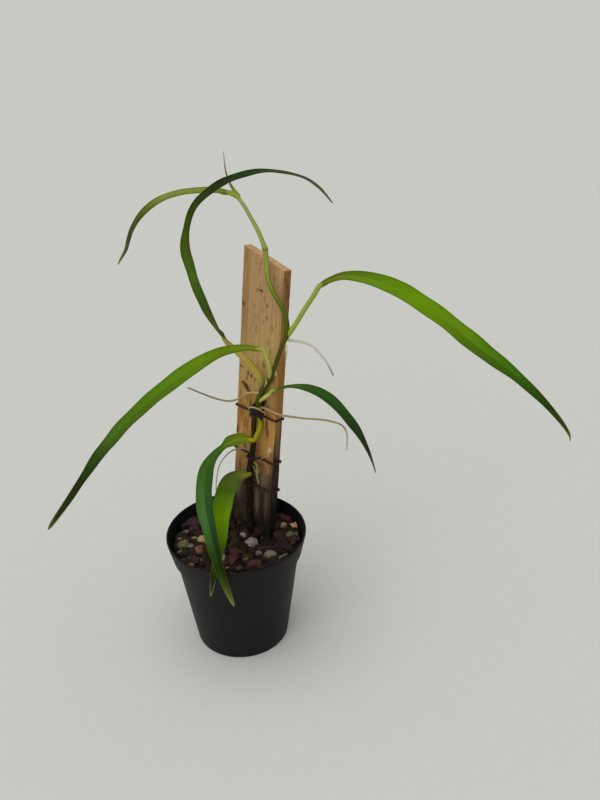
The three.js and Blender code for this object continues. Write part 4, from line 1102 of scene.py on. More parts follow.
KINDS = {
    "bark": (conifer_bark, "bark_chip", dict(squareness=4.5, roughness=0.24, grain=1.6, layer=1.1)),
    "pebble": (river_grit, "pebble", dict(squareness=2.6, roughness=0.12, grain=1.1)),
    "perlite": (expanded_perlite, "perlite", dict(squareness=2.4, roughness=0.12, grain=1.7, pits=0.2)),
}
LOOSE_SEED = 60


def turned_by(angle, axis):
    """A turn in radians about one axis."""
    return Matrix.Rotation(angle, 3, axis)


def lay_piece(name, kind, label, shape_of, colours, replaced=()):
    """Adds a piece of bark, grit or perlite, whose size, turn, place, seed and detail are in shape_of."""
    material, slot, form = KINDS[kind]
    shape = lump(*shape_of, **form)
    shape.marks["tint"] = [0.5] * len(shape.points)
    add_piece(name, shape, material(label, *colours), replaced)


def make_top_dressing():
    """The larger pieces lie half sunk in the mix and stand for a node each; the others lie on it."""
    for seed, (name, ((x, y), size, turn, *colours)) in enumerate(TOP_DRESSING.items(), 1):
        kind, label = name.split("_", 1)
        tilt = turned_by(math.radians(7 * math.sin(seed * 2.3)), "X")
        turn = turned_by(math.radians(turn), "Z") @ tilt
        place = (x, y, MIX_LEVEL + size[2] * (0.5 - PIECE_SUNK))
        lay_piece(name + "_piece", kind, label, (size, turn, place, seed, 4), colours, [name])
    for number, (kind, (x, y), size, turn, *colours) in enumerate(LOOSE_PIECES, 1):
        seed = LOOSE_SEED + number - 1
        turn = turned_by(math.radians(turn), "Z") @ turned_by(0.2 * math.sin(seed), "Y")
        place = (x, y, mix_height(x, y) + 0.22 * size[2])
        lay_piece(f"loose_{kind}_{number}", kind, f"loose_{number}", (size, turn, place, seed, 3), colours)


# Small pieces scattered over the mix: how many, their length from and to, and their form
SCATTER = {
    "crumbs_dark": (300, 2.4, 9, dict(squareness=7, roughness=0.34, layer=0.9)),
    "crumbs_red": (80, 2.4, 7.5, dict(squareness=7, roughness=0.34, layer=0.9)),
    "crumbs_tan": (26, 1.4, 3.8, dict(squareness=3.5, roughness=0.3)),
    "grit_olive": (40, 1.8, 4.2, dict(squareness=2.6, roughness=0.15)),
    "perlite_bits": (24, 0.9, 2.4, dict(squareness=2.4, roughness=0.3)),
}
SCATTER_DICE = 41
SCATTER_SEED = 100
SCATTER_RADIUS = MIX_RADIUS - 1.5
STEM_CLEARANCE = 4


def free_of_plank(x, y):
    """Whether a spot on the mix is clear of the plank and the stem."""
    spot = PLANK_FRAME.inverted() @ (Vector((x, y, MIX_LEVEL)) * MM) / MM
    inside = abs(spot.x) < PLANK_WIDTH / 2 + 1 and -PLANK_THICKNESS - 1 < spot.z < 1
    return not inside and math.hypot(x - STEM_AT_MIX[0], y - STEM_AT_MIX[1]) > STEM_CLEARANCE


def free_of_pieces(x, y):
    """Whether a spot on the mix is clear of the larger pieces."""
    pieces = [*TOP_DRESSING.values(), *[piece[1:] for piece in LOOSE_PIECES]]
    return all(math.hypot(x - px, y - py) > 0.25 * (size[0] + size[1]) for (px, py), size, *_ in pieces)


def make_scatter():
    """Crumbs, grit and bits of perlite between the larger pieces, one mesh for each kind."""
    finishes = {
        "crumbs_dark": (conifer_bark("dark", "#130f0d", "#292019"), "bark_chip"),
        "crumbs_red": (conifer_bark("red", "#1d0f10", "#43272a"), "bark_chip"),
        "crumbs_tan": (conifer_bark("tan", "#3c2d1f", "#725a3c"), "bark_chip"),
        "grit_olive": (river_grit("olive", "#28261a", "#504c35"), "pebble"),
        "perlite_bits": (expanded_perlite("bits", "#6a6256", "#9e9486"), "perlite"),
    }
    dice = random.Random(SCATTER_DICE)
    for name, (count, small, large, form) in SCATTER.items():
        joined = Shape()
        made = 0
        while made < count:
            radius, angle = SCATTER_RADIUS * math.sqrt(dice.random()), dice.uniform(0, 2 * math.pi)
            x, y = radius * math.cos(angle), radius * math.sin(angle)
            if not free_of_plank(x, y) or not free_of_pieces(x, y):
                continue
            length = small + (large - small) * dice.random() ** 2
            size = (length, length * dice.uniform(0.45, 0.85), length * dice.uniform(0.28, 0.55))
            turn = turned_by(dice.uniform(0, 2 * math.pi), "Z")
            turn = turn @ turned_by(dice.gauss(0, 0.35), "X") @ turned_by(dice.gauss(0, 0.35), "Y")
            place = (x, y, mix_height(x, y) + size[2] * dice.uniform(0.05, 0.35))
            shape = lump(size, turn, place, SCATTER_SEED + made, detail=2, grain=1.3, **form)
            shape.marks["tint"] = [dice.random()] * len(shape.points)
            joined.take(shape)
            made += 1
        material, slot = finishes[name]
        add_piece(name, joined, material, crease=50 if name.startswith("crumbs") else None)


# Plank

LEVEL = math.sin(PLANK_LEAN)
ACROSS = Vector((math.cos(PLANK_YAW), -math.sin(PLANK_YAW), 0))
ALONG = Vector((LEVEL * math.sin(PLANK_YAW), LEVEL * math.cos(PLANK_YAW), math.cos(PLANK_LEAN)))
PLANK_AXES = Matrix((ACROSS, ALONG, ACROSS.cross(ALONG))).transposed()
PLANK_FRAME = Matrix.Translation(Vector(PLANK_ANCHOR) * MM) @ PLANK_AXES.to_4x4()

# Knots, bruises, stains and bare flakes: across the board, along it, half width, half length, strength
FACE_MARKS = {
    "dark": [
        (-1, 159.7, 1.5, 0.75, 0.85), (-3.7, 160.1, 0.9, 0.7, 0.6), (-2.3, 162.6, 0.35, 2.4, 0.5),
        (-4.8, 158.6, 0.5, 0.9, 0.45), (-15.8, 148.8, 1.2, 1.2, 0.7), (4.8, 151.7, 0.6, 1.1, 0.7),
        (2, 154.8, 0.4, 2.2, 0.5), (1.6, 148.5, 0.4, 1.4, 0.4), (5.3, 144.4, 0.7, 1.2, 0.6),
        (2.1, 141.1, 0.4, 1.5, 0.4), (-3.7, 135.3, 0.4, 1.9, 0.35), (10, 139.3, 0.5, 1.5, 0.55),
        (13.3, 141.4, 0.4, 1.2, 0.45), (-2.2, 176.9, 0.4, 1.6, 0.6), (-2.8, 173.2, 0.4, 2.2, 0.55),
        (-3.4, 169.6, 0.35, 1.6, 0.4), (10.2, 169.9, 0.5, 0.8, 0.45), (6.6, 173.8, 0.4, 0.8, 0.4),
        (-12.2, 154.5, 0.4, 2.4, 0.3), (-8.5, 134, 0.4, 2, 0.3), (7.3, 129.2, 0.6, 1.8, 0.4),
        (9.5, 124.1, 0.6, 1.5, 0.45), (-16.2, 108.2, 1, 0.7, 0.9), (-13.9, 107.8, 0.8, 0.5, 0.7),
        (4.9, 114.1, 1, 0.7, 0.75), (4.2, 115.5, 0.5, 1.2, 0.5), (-9, 105.2, 0.7, 1.5, 0.85),
        (-6.2, 104, 0.7, 1.2, 0.85), (-9.8, 101.6, 0.5, 1.3, 0.6), (-12.6, 97.6, 1.2, 1.1, 0.9),
        (-10.8, 96.4, 1.5, 1.3, 0.95), (-9, 95, 1.4, 1.4, 0.95), (-7.2, 93.2, 1.6, 1.2, 0.95),
        (-15, 87, 0.5, 8, 0.45), (-12.4, 79, 0.5, 7, 0.5), (-7.4, 71, 0.5, 7, 0.5),
        (6.6, 84, 0.5, 7, 0.4), (11.8, 89, 0.5, 6, 0.4), (-11.8, 94.4, 0.5, 0.8, 0.6),
        (-2.6, 103, 0.5, 2.6, 0.5), (3.2, 95.4, 1, 3, 0.45), (5.4, 93, 0.8, 1.6, 0.7),
        (7.6, 90.6, 0.9, 1.4, 0.8), (10.3, 87.8, 1.2, 1, 0.6), (9.6, 81.5, 0.7, 3, 0.7),
        (9.6, 76.1, 0.7, 4.5, 0.85), (11.4, 70.6, 0.7, 3, 0.8), (12.6, 82, 0.5, 2, 0.5),
        (-17, 64.7, 1, 2.6, 0.9), (-10, 60, 1.2, 4, 0.6), (-8.4, 55, 1, 3, 0.8), (-4, 62, 1, 4, 0.5),
        (9, 52.5, 2.6, 1.2, 0.6), (-12.8, 41, 1, 4, 0.5), (-6, 84, 1.3, 5, 0.5),
        (-8, 88.5, 1.5, 2, 0.4),
    ],
    "red": [
        (-9.7, 71.5, 1.5, 3.4, 0.6), (-13, 78, 1.2, 4, 0.35), (2.5, 58, 1.6, 4, 0.5),
        (8, 46.8, 2, 2.6, 0.75), (14, 92, 2.2, 7, 0.3), (13, 52, 1, 2, 0.5), (-10.5, 80, 1, 3, 0.3),
    ],
    "pale": [
        (14.1, 60.5, 1.2, 1.3, 0.85), (12.3, 58.2, 0.8, 1.6, 0.6), (13, 96, 2.2, 8, 0.35),
        (-1.2, 98, 0.7, 4, 0.4), (-4.6, 96, 0.6, 3, 0.35), (-12.4, 56, 1, 6, 0.3),
        (14.4, 168, 0.4, 9, 0.25), (1, 72, 0.8, 3, 0.25), (13.6, 46, 0.7, 2.4, 0.2),
    ],
    "gold": [
        (-14.3, 177, 0.5, 4, 0.9), (-13.6, 167, 0.6, 6, 0.5), (-14.6, 150, 0.7, 9, 0.45),
        (-13.2, 130, 0.7, 9, 0.4), (-15.2, 74, 1, 6, 0.55), (-12, 50, 2.2, 6, 0.45),
        (9, 64, 3, 7, 0.3), (16.2, 150, 0.7, 24, 0.45), (15.5, 98, 1.4, 8, 0.4),
        (0.5, 88, 1.2, 4, 0.3),
    ],
    "soil": [(3.6, 20, 2.4, 8, 0.85), (9.5, 39, 3.4, 6, 0.45), (-13, 28, 2, 9, 0.35),
             (13, 22, 1.4, 9, 0.3)],
}
# The same on the right-hand edge face: through the board, along it, and so on
EDGE_MARKS = {
    "dark": [(-1.2, 171, 0.8, 1.6, 0.6), (-3, 166, 0.6, 2.2, 0.5), (-4.4, 160, 0.7, 6, 0.4),
             (-2, 50, 2.6, 6, 0.6), (-5, 70, 0.8, 9, 0.5), (-3.6, 118, 0.5, 5, 0.3)],
    "red": [(-2.6, 161, 0.6, 5, 0.6), (-1.6, 150, 0.5, 5, 0.3), (-2.5, 110, 1, 9, 0.25)],
    "pale": [(-3.4, 128, 1.6, 2.6, 0.3)],
    "gold": [(-0.8, 120, 0.7, 20, 0.4), (-2.4, 104, 1.4, 10, 0.5), (-4.6, 140, 0.6, 10, 0.3)],
    "soil": [(-3, 62, 1.6, 6, 0.4)],
}


BOARD_RIM = (0.18, 0.45, 0.9)  # how far the first points lie from an edge


def spread(start, end, step):
    """Places from start to end, about a step apart, with some closer ones near both ends."""
    *close, far = BOARD_RIM
    length = end - start - 2 * far
    inner = max(2, round(length / step))
    middle = [start + far + length * i / inner for i in range(inner + 1)]
    return [start, *[start + r for r in close], *middle, *[end - r for r in reversed(close)], end]


def make_plank():
    """The board is a box of six sheets of small faces, which share their points along its edges."""
    xs = spread(-PLANK_WIDTH / 2, PLANK_WIDTH / 2, 0.55)
    ys = spread(-PLANK_BURIED, PLANK_ABOVE, 0.7)
    zs = spread(-PLANK_THICKNESS, 0, 0.8)
    last = (len(xs) - 1, len(ys) - 1, len(zs) - 1)
    numbers = {}
    shape = Shape()
    board, end_grain = [], []
    marks = {kind: [] for kind in MARK_COLOURS}

    def corner(i, j, k):
        if (i, j, k) not in numbers:
            numbers[i, j, k] = len(shape.points)
            x, y, z = xs[i], ys[j], zs[k]
            shape.points.append(PLANK_FRAME @ (Vector(worn_board(x, y, z)) * MM))
            board.append(Vector((x, y, z)) * MM)
            end_grain.append(1.0 if j == last[1] else 0.0)
            for kind, strengths in marks.items():
                face = mark_at(FACE_MARKS[kind], x, y) if k == last[2] else 0.0
                side = mark_at(EDGE_MARKS[kind], z, y) if i == last[0] else 0.0
                strengths.append(max(face, side))
        return numbers[i, j, k]

    def sheet(first, second, fixed, at, flip):
        for a in range(last[first]):
            for b in range(last[second]):
                loop = []
                for da, db in ((0, 0), (1, 0), (1, 1), (0, 1)):
                    index = [0, 0, 0]
                    index[first], index[second], index[fixed] = a + da, b + db, at
                    loop.append(corner(*index))
                shape.faces.append(tuple(reversed(loop)) if flip else tuple(loop))

    for first, second, fixed in ((0, 1, 2), (1, 2, 0), (2, 0, 1)):
        sheet(first, second, fixed, last[fixed], False)
        sheet(first, second, fixed, 0, True)
    shape.marks = {"board": board, "end_grain": end_grain}
    for kind, strengths in marks.items():
        shape.marks["mark_" + kind] = strengths
    add_piece("plank_board", shape, sawn_softwood(), ["plank"], crease=45)


MARK_REACH = 2.2  # in half widths or half lengths, beyond which a mark leaves nothing
MARK_FADE = 1.7
MARK_RAGGED = 0.55


def mark_at(marks, x, y):
    """How strongly the marks stain the board at a point, from 0 to 1."""
    strongest = 0.0
    for mx, my, half_width, half_length, strength in marks:
        if abs(x - mx) > MARK_REACH * half_width or abs(y - my) > MARK_REACH * half_length:
            continue
        ragged = MARK_RAGGED * noise.noise(Vector((x * 1.1, y * 0.6, mx)))
        distance = math.hypot((x - mx) / half_width, (y - my) / half_length) + ragged
        strongest = max(strongest, strength * max(0, min(1, MARK_FADE - distance)))
    return strongest


EDGE_RADIUS = 0.4
GRAIN_HEIGHT = 0.1
GRAIN_SETBACK = 0.12  # keeps the raised grain inside the board's size
CHIP_BREADTH = 1.4
TOP_ZONE = 12  # the askew top takes up this length of the board
NOTCH = (-5.4, -1.5)
NOTCH_DEPTH = 0.54
FLUSH = 0.01


def worn_board(x, y, z):
    """A point of the board with its edges eased, its grain raised, its top end sawn askew, and a notch
    in its top and a chip out of its right edge."""
    half = PLANK_WIDTH / 2
    bumpy = noise.noise(Vector((math.copysign(3, x), y * 0.25, math.copysign(3, z + 3))))
    ease = EDGE_RADIUS * (1 + 0.8 * bumpy)
    low = Vector((-half + ease, -PLANK_BURIED + ease, -PLANK_THICKNESS + ease))
    high = Vector((half - ease, PLANK_ABOVE - ease * 0.5, -ease))
    core = Vector(min(max(v, a), b) for v, a, b in zip((x, y, z), low, high))
    away = Vector((x, y, z)) - core
    point = core + away.normalized() * min(ease, away.length) if away.length > 1e-6 else core
    grain = noise.fractal(Vector((x * 0.9, y * 0.035, z * 0.9)), 0.9, 2, 3)
    wander = noise.noise(Vector((y * 0.02, 3, 1)))
    if abs(z) < FLUSH or abs(z + PLANK_THICKNESS) < FLUSH:
        front = 1 if z > -1 else -1
        point.z += GRAIN_HEIGHT * grain * front - GRAIN_SETBACK * front
    if abs(abs(x) - half) < FLUSH:
        point.x += math.copysign(0.12 * grain - GRAIN_SETBACK, x) + 0.1 * wander
    if x > half - CHIP_BREADTH and CHIP_HEIGHT < y < CHIP_HEIGHT + CHIP_LENGTH:
        share = (y - CHIP_HEIGHT) / CHIP_LENGTH
        bite = CHIP_DEPTH * min(1, 5 * share, 3 * (1 - share)) * (1 + 0.2 * noise.noise(Vector((0, y, z))))
        point.x -= bite * (x - half + CHIP_BREADTH) / CHIP_BREADTH
    if y > PLANK_ABOVE - TOP_ZONE:
        rise = -x * PLANK_TOP_RISE / half
        saw = 0.25 * noise.noise(Vector((x * 0.5, z * 0.9, 8))) - 0.25
        notch = NOTCH_DEPTH if NOTCH[0] < x < NOTCH[1] and y > PLANK_ABOVE - 0.2 else 0
        point.y += (rise + saw - notch) * (y - PLANK_ABOVE + TOP_ZONE) / TOP_ZONE
    return point


# Stem, stalks and roots


def at_node(z):
    """How near a height in millimetres is to a node of the stem, from 0 to 1."""
    return max(math.exp(-(((z - node) / NODE_BREADTH) ** 2)) for node in STEM_NODES)


def make_stem():
    """The stem swells at its nodes, and its lower part has rough old bark."""
    count = len(STEM_ROUTE) - 1
    radii = [on_broken_line(STEM_RADII, i / count) * MM for i in range(count + 1)]

    def relief(_, angle, centre):
        z = centre.z / MM
        old = max(0, min(1, (OLD_BARK_TOP - z) / OLD_BARK_FADE))
        bark = noise.fractal(Vector((math.cos(angle) * 1.6, math.sin(angle) * 1.6, z * 0.22)), 0.8, 2.1, 3)
        return 1 + 0.17 * at_node(z) + (0.03 + 0.09 * old) * bark

    shape = tube(in_metres(STEM_ROUTE), radii, sides=20, steps=14, relief=relief)
    shape.marks["node"] = [0.6 * at_node(point.z / MM) ** 3 for point in shape.points]
    add_piece("stem_climbing", shape, stem_skin(), ["stem"])


# Colours of each stalk, from the stem to the blade
STALK_COLOURS = {
    "right_high": [(0, "#7c8f2b"), (0.25, "#8e9b3a"), (0.55, "#8e984a"), (0.68, "#7f8e36"),
                   (0.76, "#5f711d"), (0.83, "#4a5e10"), (1, "#4e6a14")],
    "left_long": [(0, "#8e9132"), (0.25, "#a0a14f"), (0.5, "#a0a350"), (0.66, "#7f8d36"),
                  (0.76, "#62790f"), (1, "#5a760f")],
    "arching": [(0, "#36441f"), (0.14, "#666c30"), (0.24, "#9d8f3a"), (0.4, "#a69144"), (0.6, "#a7974f"),
                (0.68, "#9c9650"), (0.74, "#7c8240"), (0.8, "#48531f"), (0.94, "#3d4718")],
    "right_short": [(0, "#aeb15b"), (0.35, "#aaae59"), (0.6, "#87923b"), (0.85, "#55742d")],
    "front_long": [(0, "#38340e"), (0.14, "#625e10"), (0.24, "#837e14"), (0.8, "#9a931b"),
                   (1, "#908e18")],
    "front_low": [(0, "#6c6c2e"), (1, "#7c8136")],
    "top": [(0, "#8a9a3c"), (1, "#6f7d28")],
}
STEM_STEPS = 400
FOOT_RISE = -4  # for the stalks that state none
KEEL_LENGTH = 9  # the stalk runs on under the blade as its midrib's keel
KEEL_STEPS = (0.35, 0.7, 1)
MIDRIB_SPOTS = 200
STALK_FLATNESS = 0.06


def stalk_route(leaf):
    """The stalk's points in metres, with its last stretch in line with the blade."""
    midrib = in_metres(leaf["midrib"])
    foot = midrib[0]
    travel = (on_spline(midrib, 0.01) - foot).normalized()
    return [*in_metres(leaf["stalk"]), foot - travel * leaf["lead"] * MM, foot - travel * 0.3 * MM]


def along_the_stem(point, rise):
    """A point on the stem's axis, rise millimetres further up than the one that is nearest to a point."""
    spots, length = evenly(in_metres(STEM_ROUTE), STEM_STEPS)
    nearest = min(range(STEM_STEPS), key=lambda i: (spots[i] - point).length)
    return spots[nearest + round(rise * MM / length * (STEM_STEPS - 1))]


def make_stalk(name, leaf):
    """A stalk, which leaves the stem in a slender sheath and thins out under the blade."""
    route = stalk_route(leaf)
    radii = [radius * MM for radius in leaf["radii"]]
    route.insert(0, along_the_stem(route[0], leaf.get("foot_rise", FOOT_RISE)))
    radii.insert(0, 0.3 * radii[0])
    midrib, length = evenly(in_metres(leaf["midrib"]), MIDRIB_SPOTS)
    share = KEEL_LENGTH * MM / length
    thick = radii[-1]
    for step in KEEL_STEPS:
        spot = midrib[round((MIDRIB_SPOTS - 1) * share * step)]
        upper = face_at(leaf["face"], share * step)
        radii.append(thick * (1 - 0.75 * step))
        route.append(spot - upper * (radii[-1] + 0.1 * MM))

    flatness = leaf.get("flatness", STALK_FLATNESS)

    def relief(_, angle, centre):
        ribs = 0.04 * noise.noise(Vector((math.cos(angle) * 2, math.sin(angle) * 2, centre.z * 300)))
        return 1 + flatness * math.cos(2 * angle) + ribs

    shape = tube(route, radii, sides=16, steps=9, relief=relief)
    finish = stalk_skin(name, STALK_COLOURS[name])
    add_piece("stalk_" + name + "_skin", shape, finish, ["stalk_" + name])


def make_roots():
    """The aerial roots, their hair-fine side roots, and a finish for the feeder roots in the mix."""
    for seed, (name, root) in enumerate(AERIAL_ROOTS.items()):
        radii = [radius * MM for radius in root["radii"]]

        def relief(_, angle, centre):
            spot = centre / MM * 0.45 + Vector((math.cos(angle), math.sin(angle), seed)) * 0.4
            return 1 + 0.16 * noise.fractal(spot, 0.8, 2.2, 3)

        shape = tube(in_metres(root["route"]), radii, sides=12, steps=14, relief=relief)
        finish = root_rind(name.removeprefix("aerial_root_"), root["colours"])
        add_piece(name + "_rind", shape, finish, [name])
    hairs = Shape()
    for route in SIDE_ROOTS:
        radii = [SIDE_ROOT_RADIUS * MM] * (len(route) - 1) + [SIDE_ROOT_RADIUS * MM * 0.5]
        hairs.take(tube(in_metres(route), radii, sides=8))
    add_piece("side_roots", hairs, root_rind("side_roots", SIDE_ROOT_COLOURS))
    for name in ("feeder_root_left", "feeder_root_right", "feeder_root_front"):
        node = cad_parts[name]
        node.data.materials.clear()
        node.data.materials.append(fresh_root())


# Remains of old sheaths round the stem: colours, and for each its height, its place to the right and
# to the front, and its size
SHEATHS = {
    "sheath_scraps": (["#8a8060", "#b2a781", "#b2a781"], [
        (184.6, 2, 0.7, (1.3, 0.3, 3.8)),
        (178.6, -1.5, 1.2, (1.2, 0.3, 4)),
        (176.2, -0.6, 1.6, (0.8, 0.3, 2.2)),
        (169.6, -2.2, 0.8, (0.8, 0.3, 1.8)),
    ]),
    "sheath_rotted": (["#0e0905", "#1b130a", "#0e0905"], [
        (155.5, 1.5, -0.4, (9, 4.2, 10)),
        (152, 3.2, -0.8, (5, 3.6, 7)),
        (160.5, 0.8, -0.4, (6.4, 4.2, 5)),
    ]),
}
SHEATH_SEED = 30


def make_sheaths():
    """Papery and rotted scraps that cling to the stem."""
    spots = evenly(in_metres(STEM_ROUTE), STEM_STEPS)[0]
    for piece, (colours, scraps) in SHEATHS.items():
        joined = Shape()
        for seed, (height, right, front, size) in enumerate(scraps, SHEATH_SEED):
            spot = min(spots, key=lambda s: abs(s.z - height * MM)) / MM
            place = spot + Vector((right, -front, 0))
            turn = turned_by(0.3 + 0.2 * math.sin(seed), "Y") @ turned_by(0.4 * math.sin(seed * 3), "Z")
            joined.take(lump(size, turn, place, seed, squareness=2.6, roughness=0.3, grain=1.4))
        joined.marks["growth"] = [(0, 0.5, 0)] * len(joined.points)
        add_piece(piece, joined, root_rind(piece, colours))


# Leaf blades

BLADE_ROWS = 110
BLADE_COLUMNS = 13  # from the midrib to the edge
BLADE_MIDRIB = 0.9  # thickness at the midrib, and towards the edge
BLADE_EDGE = 0.32
BLADE_CUP = 0.085  # rise of the edges, as a share of the width
RIB_GROOVE = 0.2
RIB_KEEL = 0.35
RIB_BREADTH = 0.45
WAVE_LENGTH = 24
WAVE_HEIGHT = 0.3
WAVE_SHIFT = 1.7  # the right edge's waves come after the left edge's
TIP_START = 0.985  # the tip rounds off from this share of the length


def face_at(face, t):
    """Where a blade's upper side looks at a share of its length."""
    place = t * (len(face) - 1)
    low = min(int(place), len(face) - 2)
    return Vector(face[low]).lerp(Vector(face[low + 1]), place - low).normalized()


def make_blade(seed, name, leaf):
    """A closed blade: each ring goes under it from edge to edge and comes back over it."""
    midrib, length = evenly(in_metres(leaf["midrib"]), BLADE_ROWS)
    columns = [i / BLADE_COLUMNS for i in range(-BLADE_COLUMNS, BLADE_COLUMNS + 1)]
    rings, growth, to_edge, underside = [], [], [], []
    for row, centre in enumerate(midrib):
        t = row / (BLADE_ROWS - 1)
        travel = heading(midrib, row)
        upper = face_at(leaf["face"], t)
        upper = (upper - travel * upper.dot(travel)).normalized()
        side = upper.cross(travel)
        half = leaf["width"] * on_smooth_line(leaf["outline"], t) / 2
        half *= 1 - max(0, (t - TIP_START) / (1 - TIP_START)) ** 2 * 0.9
        thin = 1 - 0.5 * t
        ring = []
        for under, order in ((1, columns), (0, columns[::-1])):
            for a in order:
                away = abs(a)
                x = a * half
                phase = 2 * math.pi * t * length / MM / WAVE_LENGTH + seed + (WAVE_SHIFT if a > 0 else 0)
                wave = WAVE_HEIGHT * math.sin(phase) * away**2 * min(1, half / 4) * math.sin(math.pi * t)
                lift = BLADE_CUP * 2 * half * away**1.35 + wave
                thick = (BLADE_MIDRIB * thin) * (1 - away) ** 1.5 + BLADE_EDGE * (1 - away) ** 0.5
                rib = math.exp(-((x / RIB_BREADTH) ** 2)) * thin * min(1, half / 2)
                if under:
                    y = lift - 0.6 * thick - RIB_KEEL * rib
                else:
                    y = lift + 0.4 * thick - RIB_GROOVE * rib * math.exp(-((t / 0.9) ** 6))
                ring.append(centre + side * x * MM + upper * y * MM)
                growth.append((x * MM, t, t * length))
                to_edge.append((half - abs(x)) * MM)
                underside.append(float(under))
        rings.append(ring)
    shape = skin(rings)
    shape.marks = {"growth": growth, "to_edge": to_edge, "underside": underside}
    finish = leaf_cuticle(name, leaf["colours"], leaf["fold"], leaf.get("rib", PLAIN_RIB))
    add_piece("blade_" + name + "_leaf", shape, finish, ["blade_" + name])


def make_new_leaf():
    """The young leaf, with the free edge of its roll winding round it."""

    def relief(share, angle, _):
        roll = math.cos(angle + 9 * share)
        return 1 + 0.18 * max(0, roll) ** 3

    radii = [radius * MM for radius in NEW_LEAF["radii"]]
    shape = tube(in_metres(NEW_LEAF["route"]), radii, steps=20, relief=relief)
    finish = stalk_skin("new_leaf", NEW_LEAF["colours"])
    add_piece("new_leaf_rolled", shape, finish, ["new_leaf"])


# Ties


def stem_beside(height):
    """Where the stem's axis passes the board at that height along it: across and outward."""
    back = PLANK_FRAME.inverted()
    route = in_metres(STEM_ROUTE)
    spots = [back @ on_spline(route, i / 16) / MM for i in range(16 * (len(route) - 1))]
    return min(spots, key=lambda spot: abs(spot.y - height))


def make_ties():
    """Wire twisted from two strands goes round the board and the stem at each height."""
    finish = coated_wire()
    half = PLANK_WIDTH / 2
    stand = TIE_RADIUS
    over = STEM_THICKEST + stand
    for name, height in TIE_HEIGHTS.items():
        stem = stem_beside(height)
        section = [
            (-half - stand, -PLANK_THICKNESS / 2),
            (-half - 0.7 * stand, 0.7 * stand),
            (-half + 2, stand),
            ((stem.x - half) / 2, stand),
            (stem.x - over - 1.6, stand + 0.3),
            (stem.x - over, stem.z),
            (stem.x - 0.7 * over, stem.z + 0.72 * over),
            (stem.x, stem.z + over),
            (stem.x + 0.7 * over, stem.z + 0.72 * over),
            (stem.x + over, stem.z),
            (stem.x + over + 1.6, stand + 0.3),
            (half - 1.5, stand),
            (half + 0.7 * stand, 0.7 * stand),
            (half + stand, -PLANK_THICKNESS / 2),
            (half + 0.7 * stand, -PLANK_THICKNESS - 0.7 * stand),
            (half - 3, -PLANK_THICKNESS - stand),
            (-half + 3, -PLANK_THICKNESS - stand),
            (-half - 0.7 * stand, -PLANK_THICKNESS - 0.7 * stand),
        ]
        loop = [PLANK_FRAME @ (Vector((x, height, z)) * MM) for x, z in section]
        shape = Shape()
        for strand in (0, math.pi):
            shape.take(twisted_strand(loop, strand))
            shape.take(twisted_end(height, strand))
        add_piece(name + "_wire", shape, finish, [name])


def twisted_strand(loop, phase):
    """One strand of a closed loop of twisted wire."""
    count = len(loop) * 8
    path = [on_spline(loop, len(loop) * i / count, closed=True) for i in range(count)]
    length = sum((q - p).length for p, q in zip(path, path[1:] + path[:1]))
    turns = round(length / MM / TWIST_PITCH)
    points, reach = [], 0
    for i, centre in enumerate(path):
        reach += (centre - path[i - 1]).length if i else 0
        angle = phase + 2 * math.pi * turns * reach / length
        sideways = heading(path, i, closed=True).cross(ALONG)
        points.append(centre + (ALONG * math.cos(angle) + sideways * math.sin(angle)) * STRAND_OFFSET * MM)
    return tube(points, STRAND_RADIUS * MM, sides=9, steps=2, closed=True)


def twisted_end(height, phase):
    """One of a tie's two cut ends, which are twisted together and bent down behind the left edge."""
    points = []
    for i in range(END_POINTS):
        share = i / (END_POINTS - 1)
        angle = phase + 2 * math.pi * END_TURNS * share
        apart = STRAND_OFFSET + (0.9 * (share - 0.7) / 0.3 if share > 0.7 else 0)
        x = -PLANK_WIDTH / 2 - TIE_RADIUS - 0.5 + apart * math.cos(angle)
        z = -0.4 - 5 * share + apart * math.sin(angle)
        points.append(PLANK_FRAME @ (Vector((x, height - 1.2 - 4 * share**1.6, z)) * MM))
    return tube(points, STRAND_RADIUS * MM, sides=9, steps=3)


# Stage


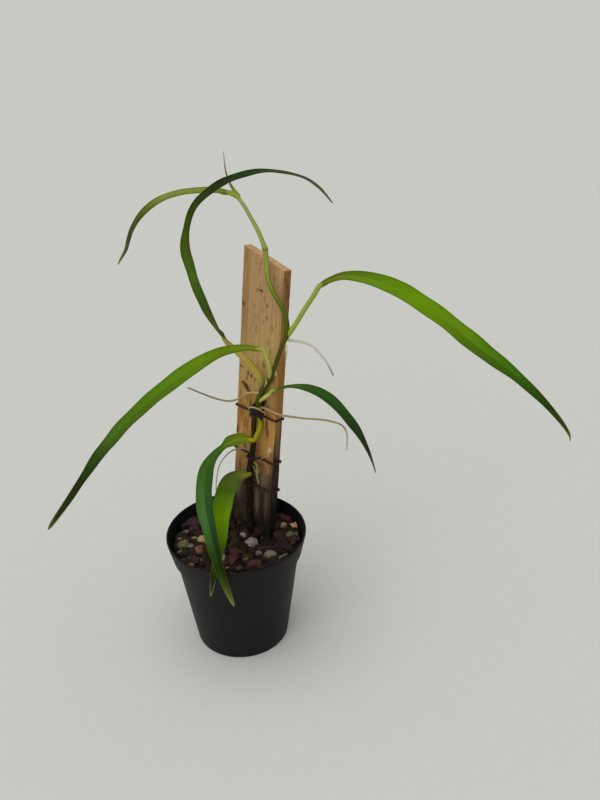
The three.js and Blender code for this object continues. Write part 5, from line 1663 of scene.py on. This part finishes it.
def add_softbox(name, travel, strength, breadth):
    """A wide soft light from far off. travel is the way that its light goes; breadth is in degrees."""
    data = bpy.data.lights.new(name, "SUN")
    data.energy = strength
    data.angle = math.radians(breadth)
    softbox = bpy.data.objects.new(name, data)
    softbox.rotation_euler = Vector(travel).to_track_quat("-Z", "Y").to_euler()
    bpy.context.scene.collection.objects.link(softbox)


FLOOR_REACH = 30  # metres
SKY_COLOUR = "#e9e9e6"
SKY_STRENGTH = 0.58


def set_stage():
    mesh = bpy.data.meshes.new("studio_floor")
    corners = [(x * FLOOR_REACH, y * FLOOR_REACH, 0) for x, y in ((-1, -1), (1, -1), (1, 1), (-1, 1))]
    mesh.from_pydata(corners, [], [(0, 1, 2, 3)])
    mesh.materials.append(studio_paper())
    floor = bpy.data.objects.new("studio_floor", mesh)
    bpy.context.scene.collection.objects.link(floor)
    world = bpy.data.worlds.new("studio")
    bpy.context.scene.world = world
    world.use_nodes = True
    sky = world.node_tree.nodes["Background"].inputs
    sky["Color"].default_value = linear(SKY_COLOUR)
    sky["Strength"].default_value = SKY_STRENGTH
    add_softbox("overhead_softbox", (0.25, 0.15, -1), 1.15, 70)
    add_softbox("front_softbox", (0.4, 0.85, -0.45), 0.85, 60)
    bpy.context.scene.view_settings.view_transform = "Standard"


def set_camera():
    data = bpy.data.cameras.new("camera")
    data.sensor_width = SENSOR
    data.lens = SENSOR * FOCAL_PIXELS / FRAME_PIXELS
    data.clip_start = 0.01
    data.clip_end = 100
    camera = bpy.data.objects.new("camera", data)
    tilt = Matrix.Rotation(math.pi / 2 - CAMERA_PITCH, 4, "X") @ Matrix.Rotation(CAMERA_ROLL, 4, "Z")
    camera.matrix_world = Matrix.Translation(Vector(CAMERA_PLACE) * MM) @ tilt
    bpy.context.scene.collection.objects.link(camera)
    bpy.context.scene.camera = camera


set_camera()
make_pot()
make_mix()
make_top_dressing()
make_scatter()
make_plank()
make_stem()
make_sheaths()
for number, (leaf_name, leaf_data) in enumerate(LEAVES.items()):
    make_stalk(leaf_name, leaf_data)
    make_blade(number, leaf_name, leaf_data)
make_new_leaf()
make_roots()
make_ties()
set_stage()
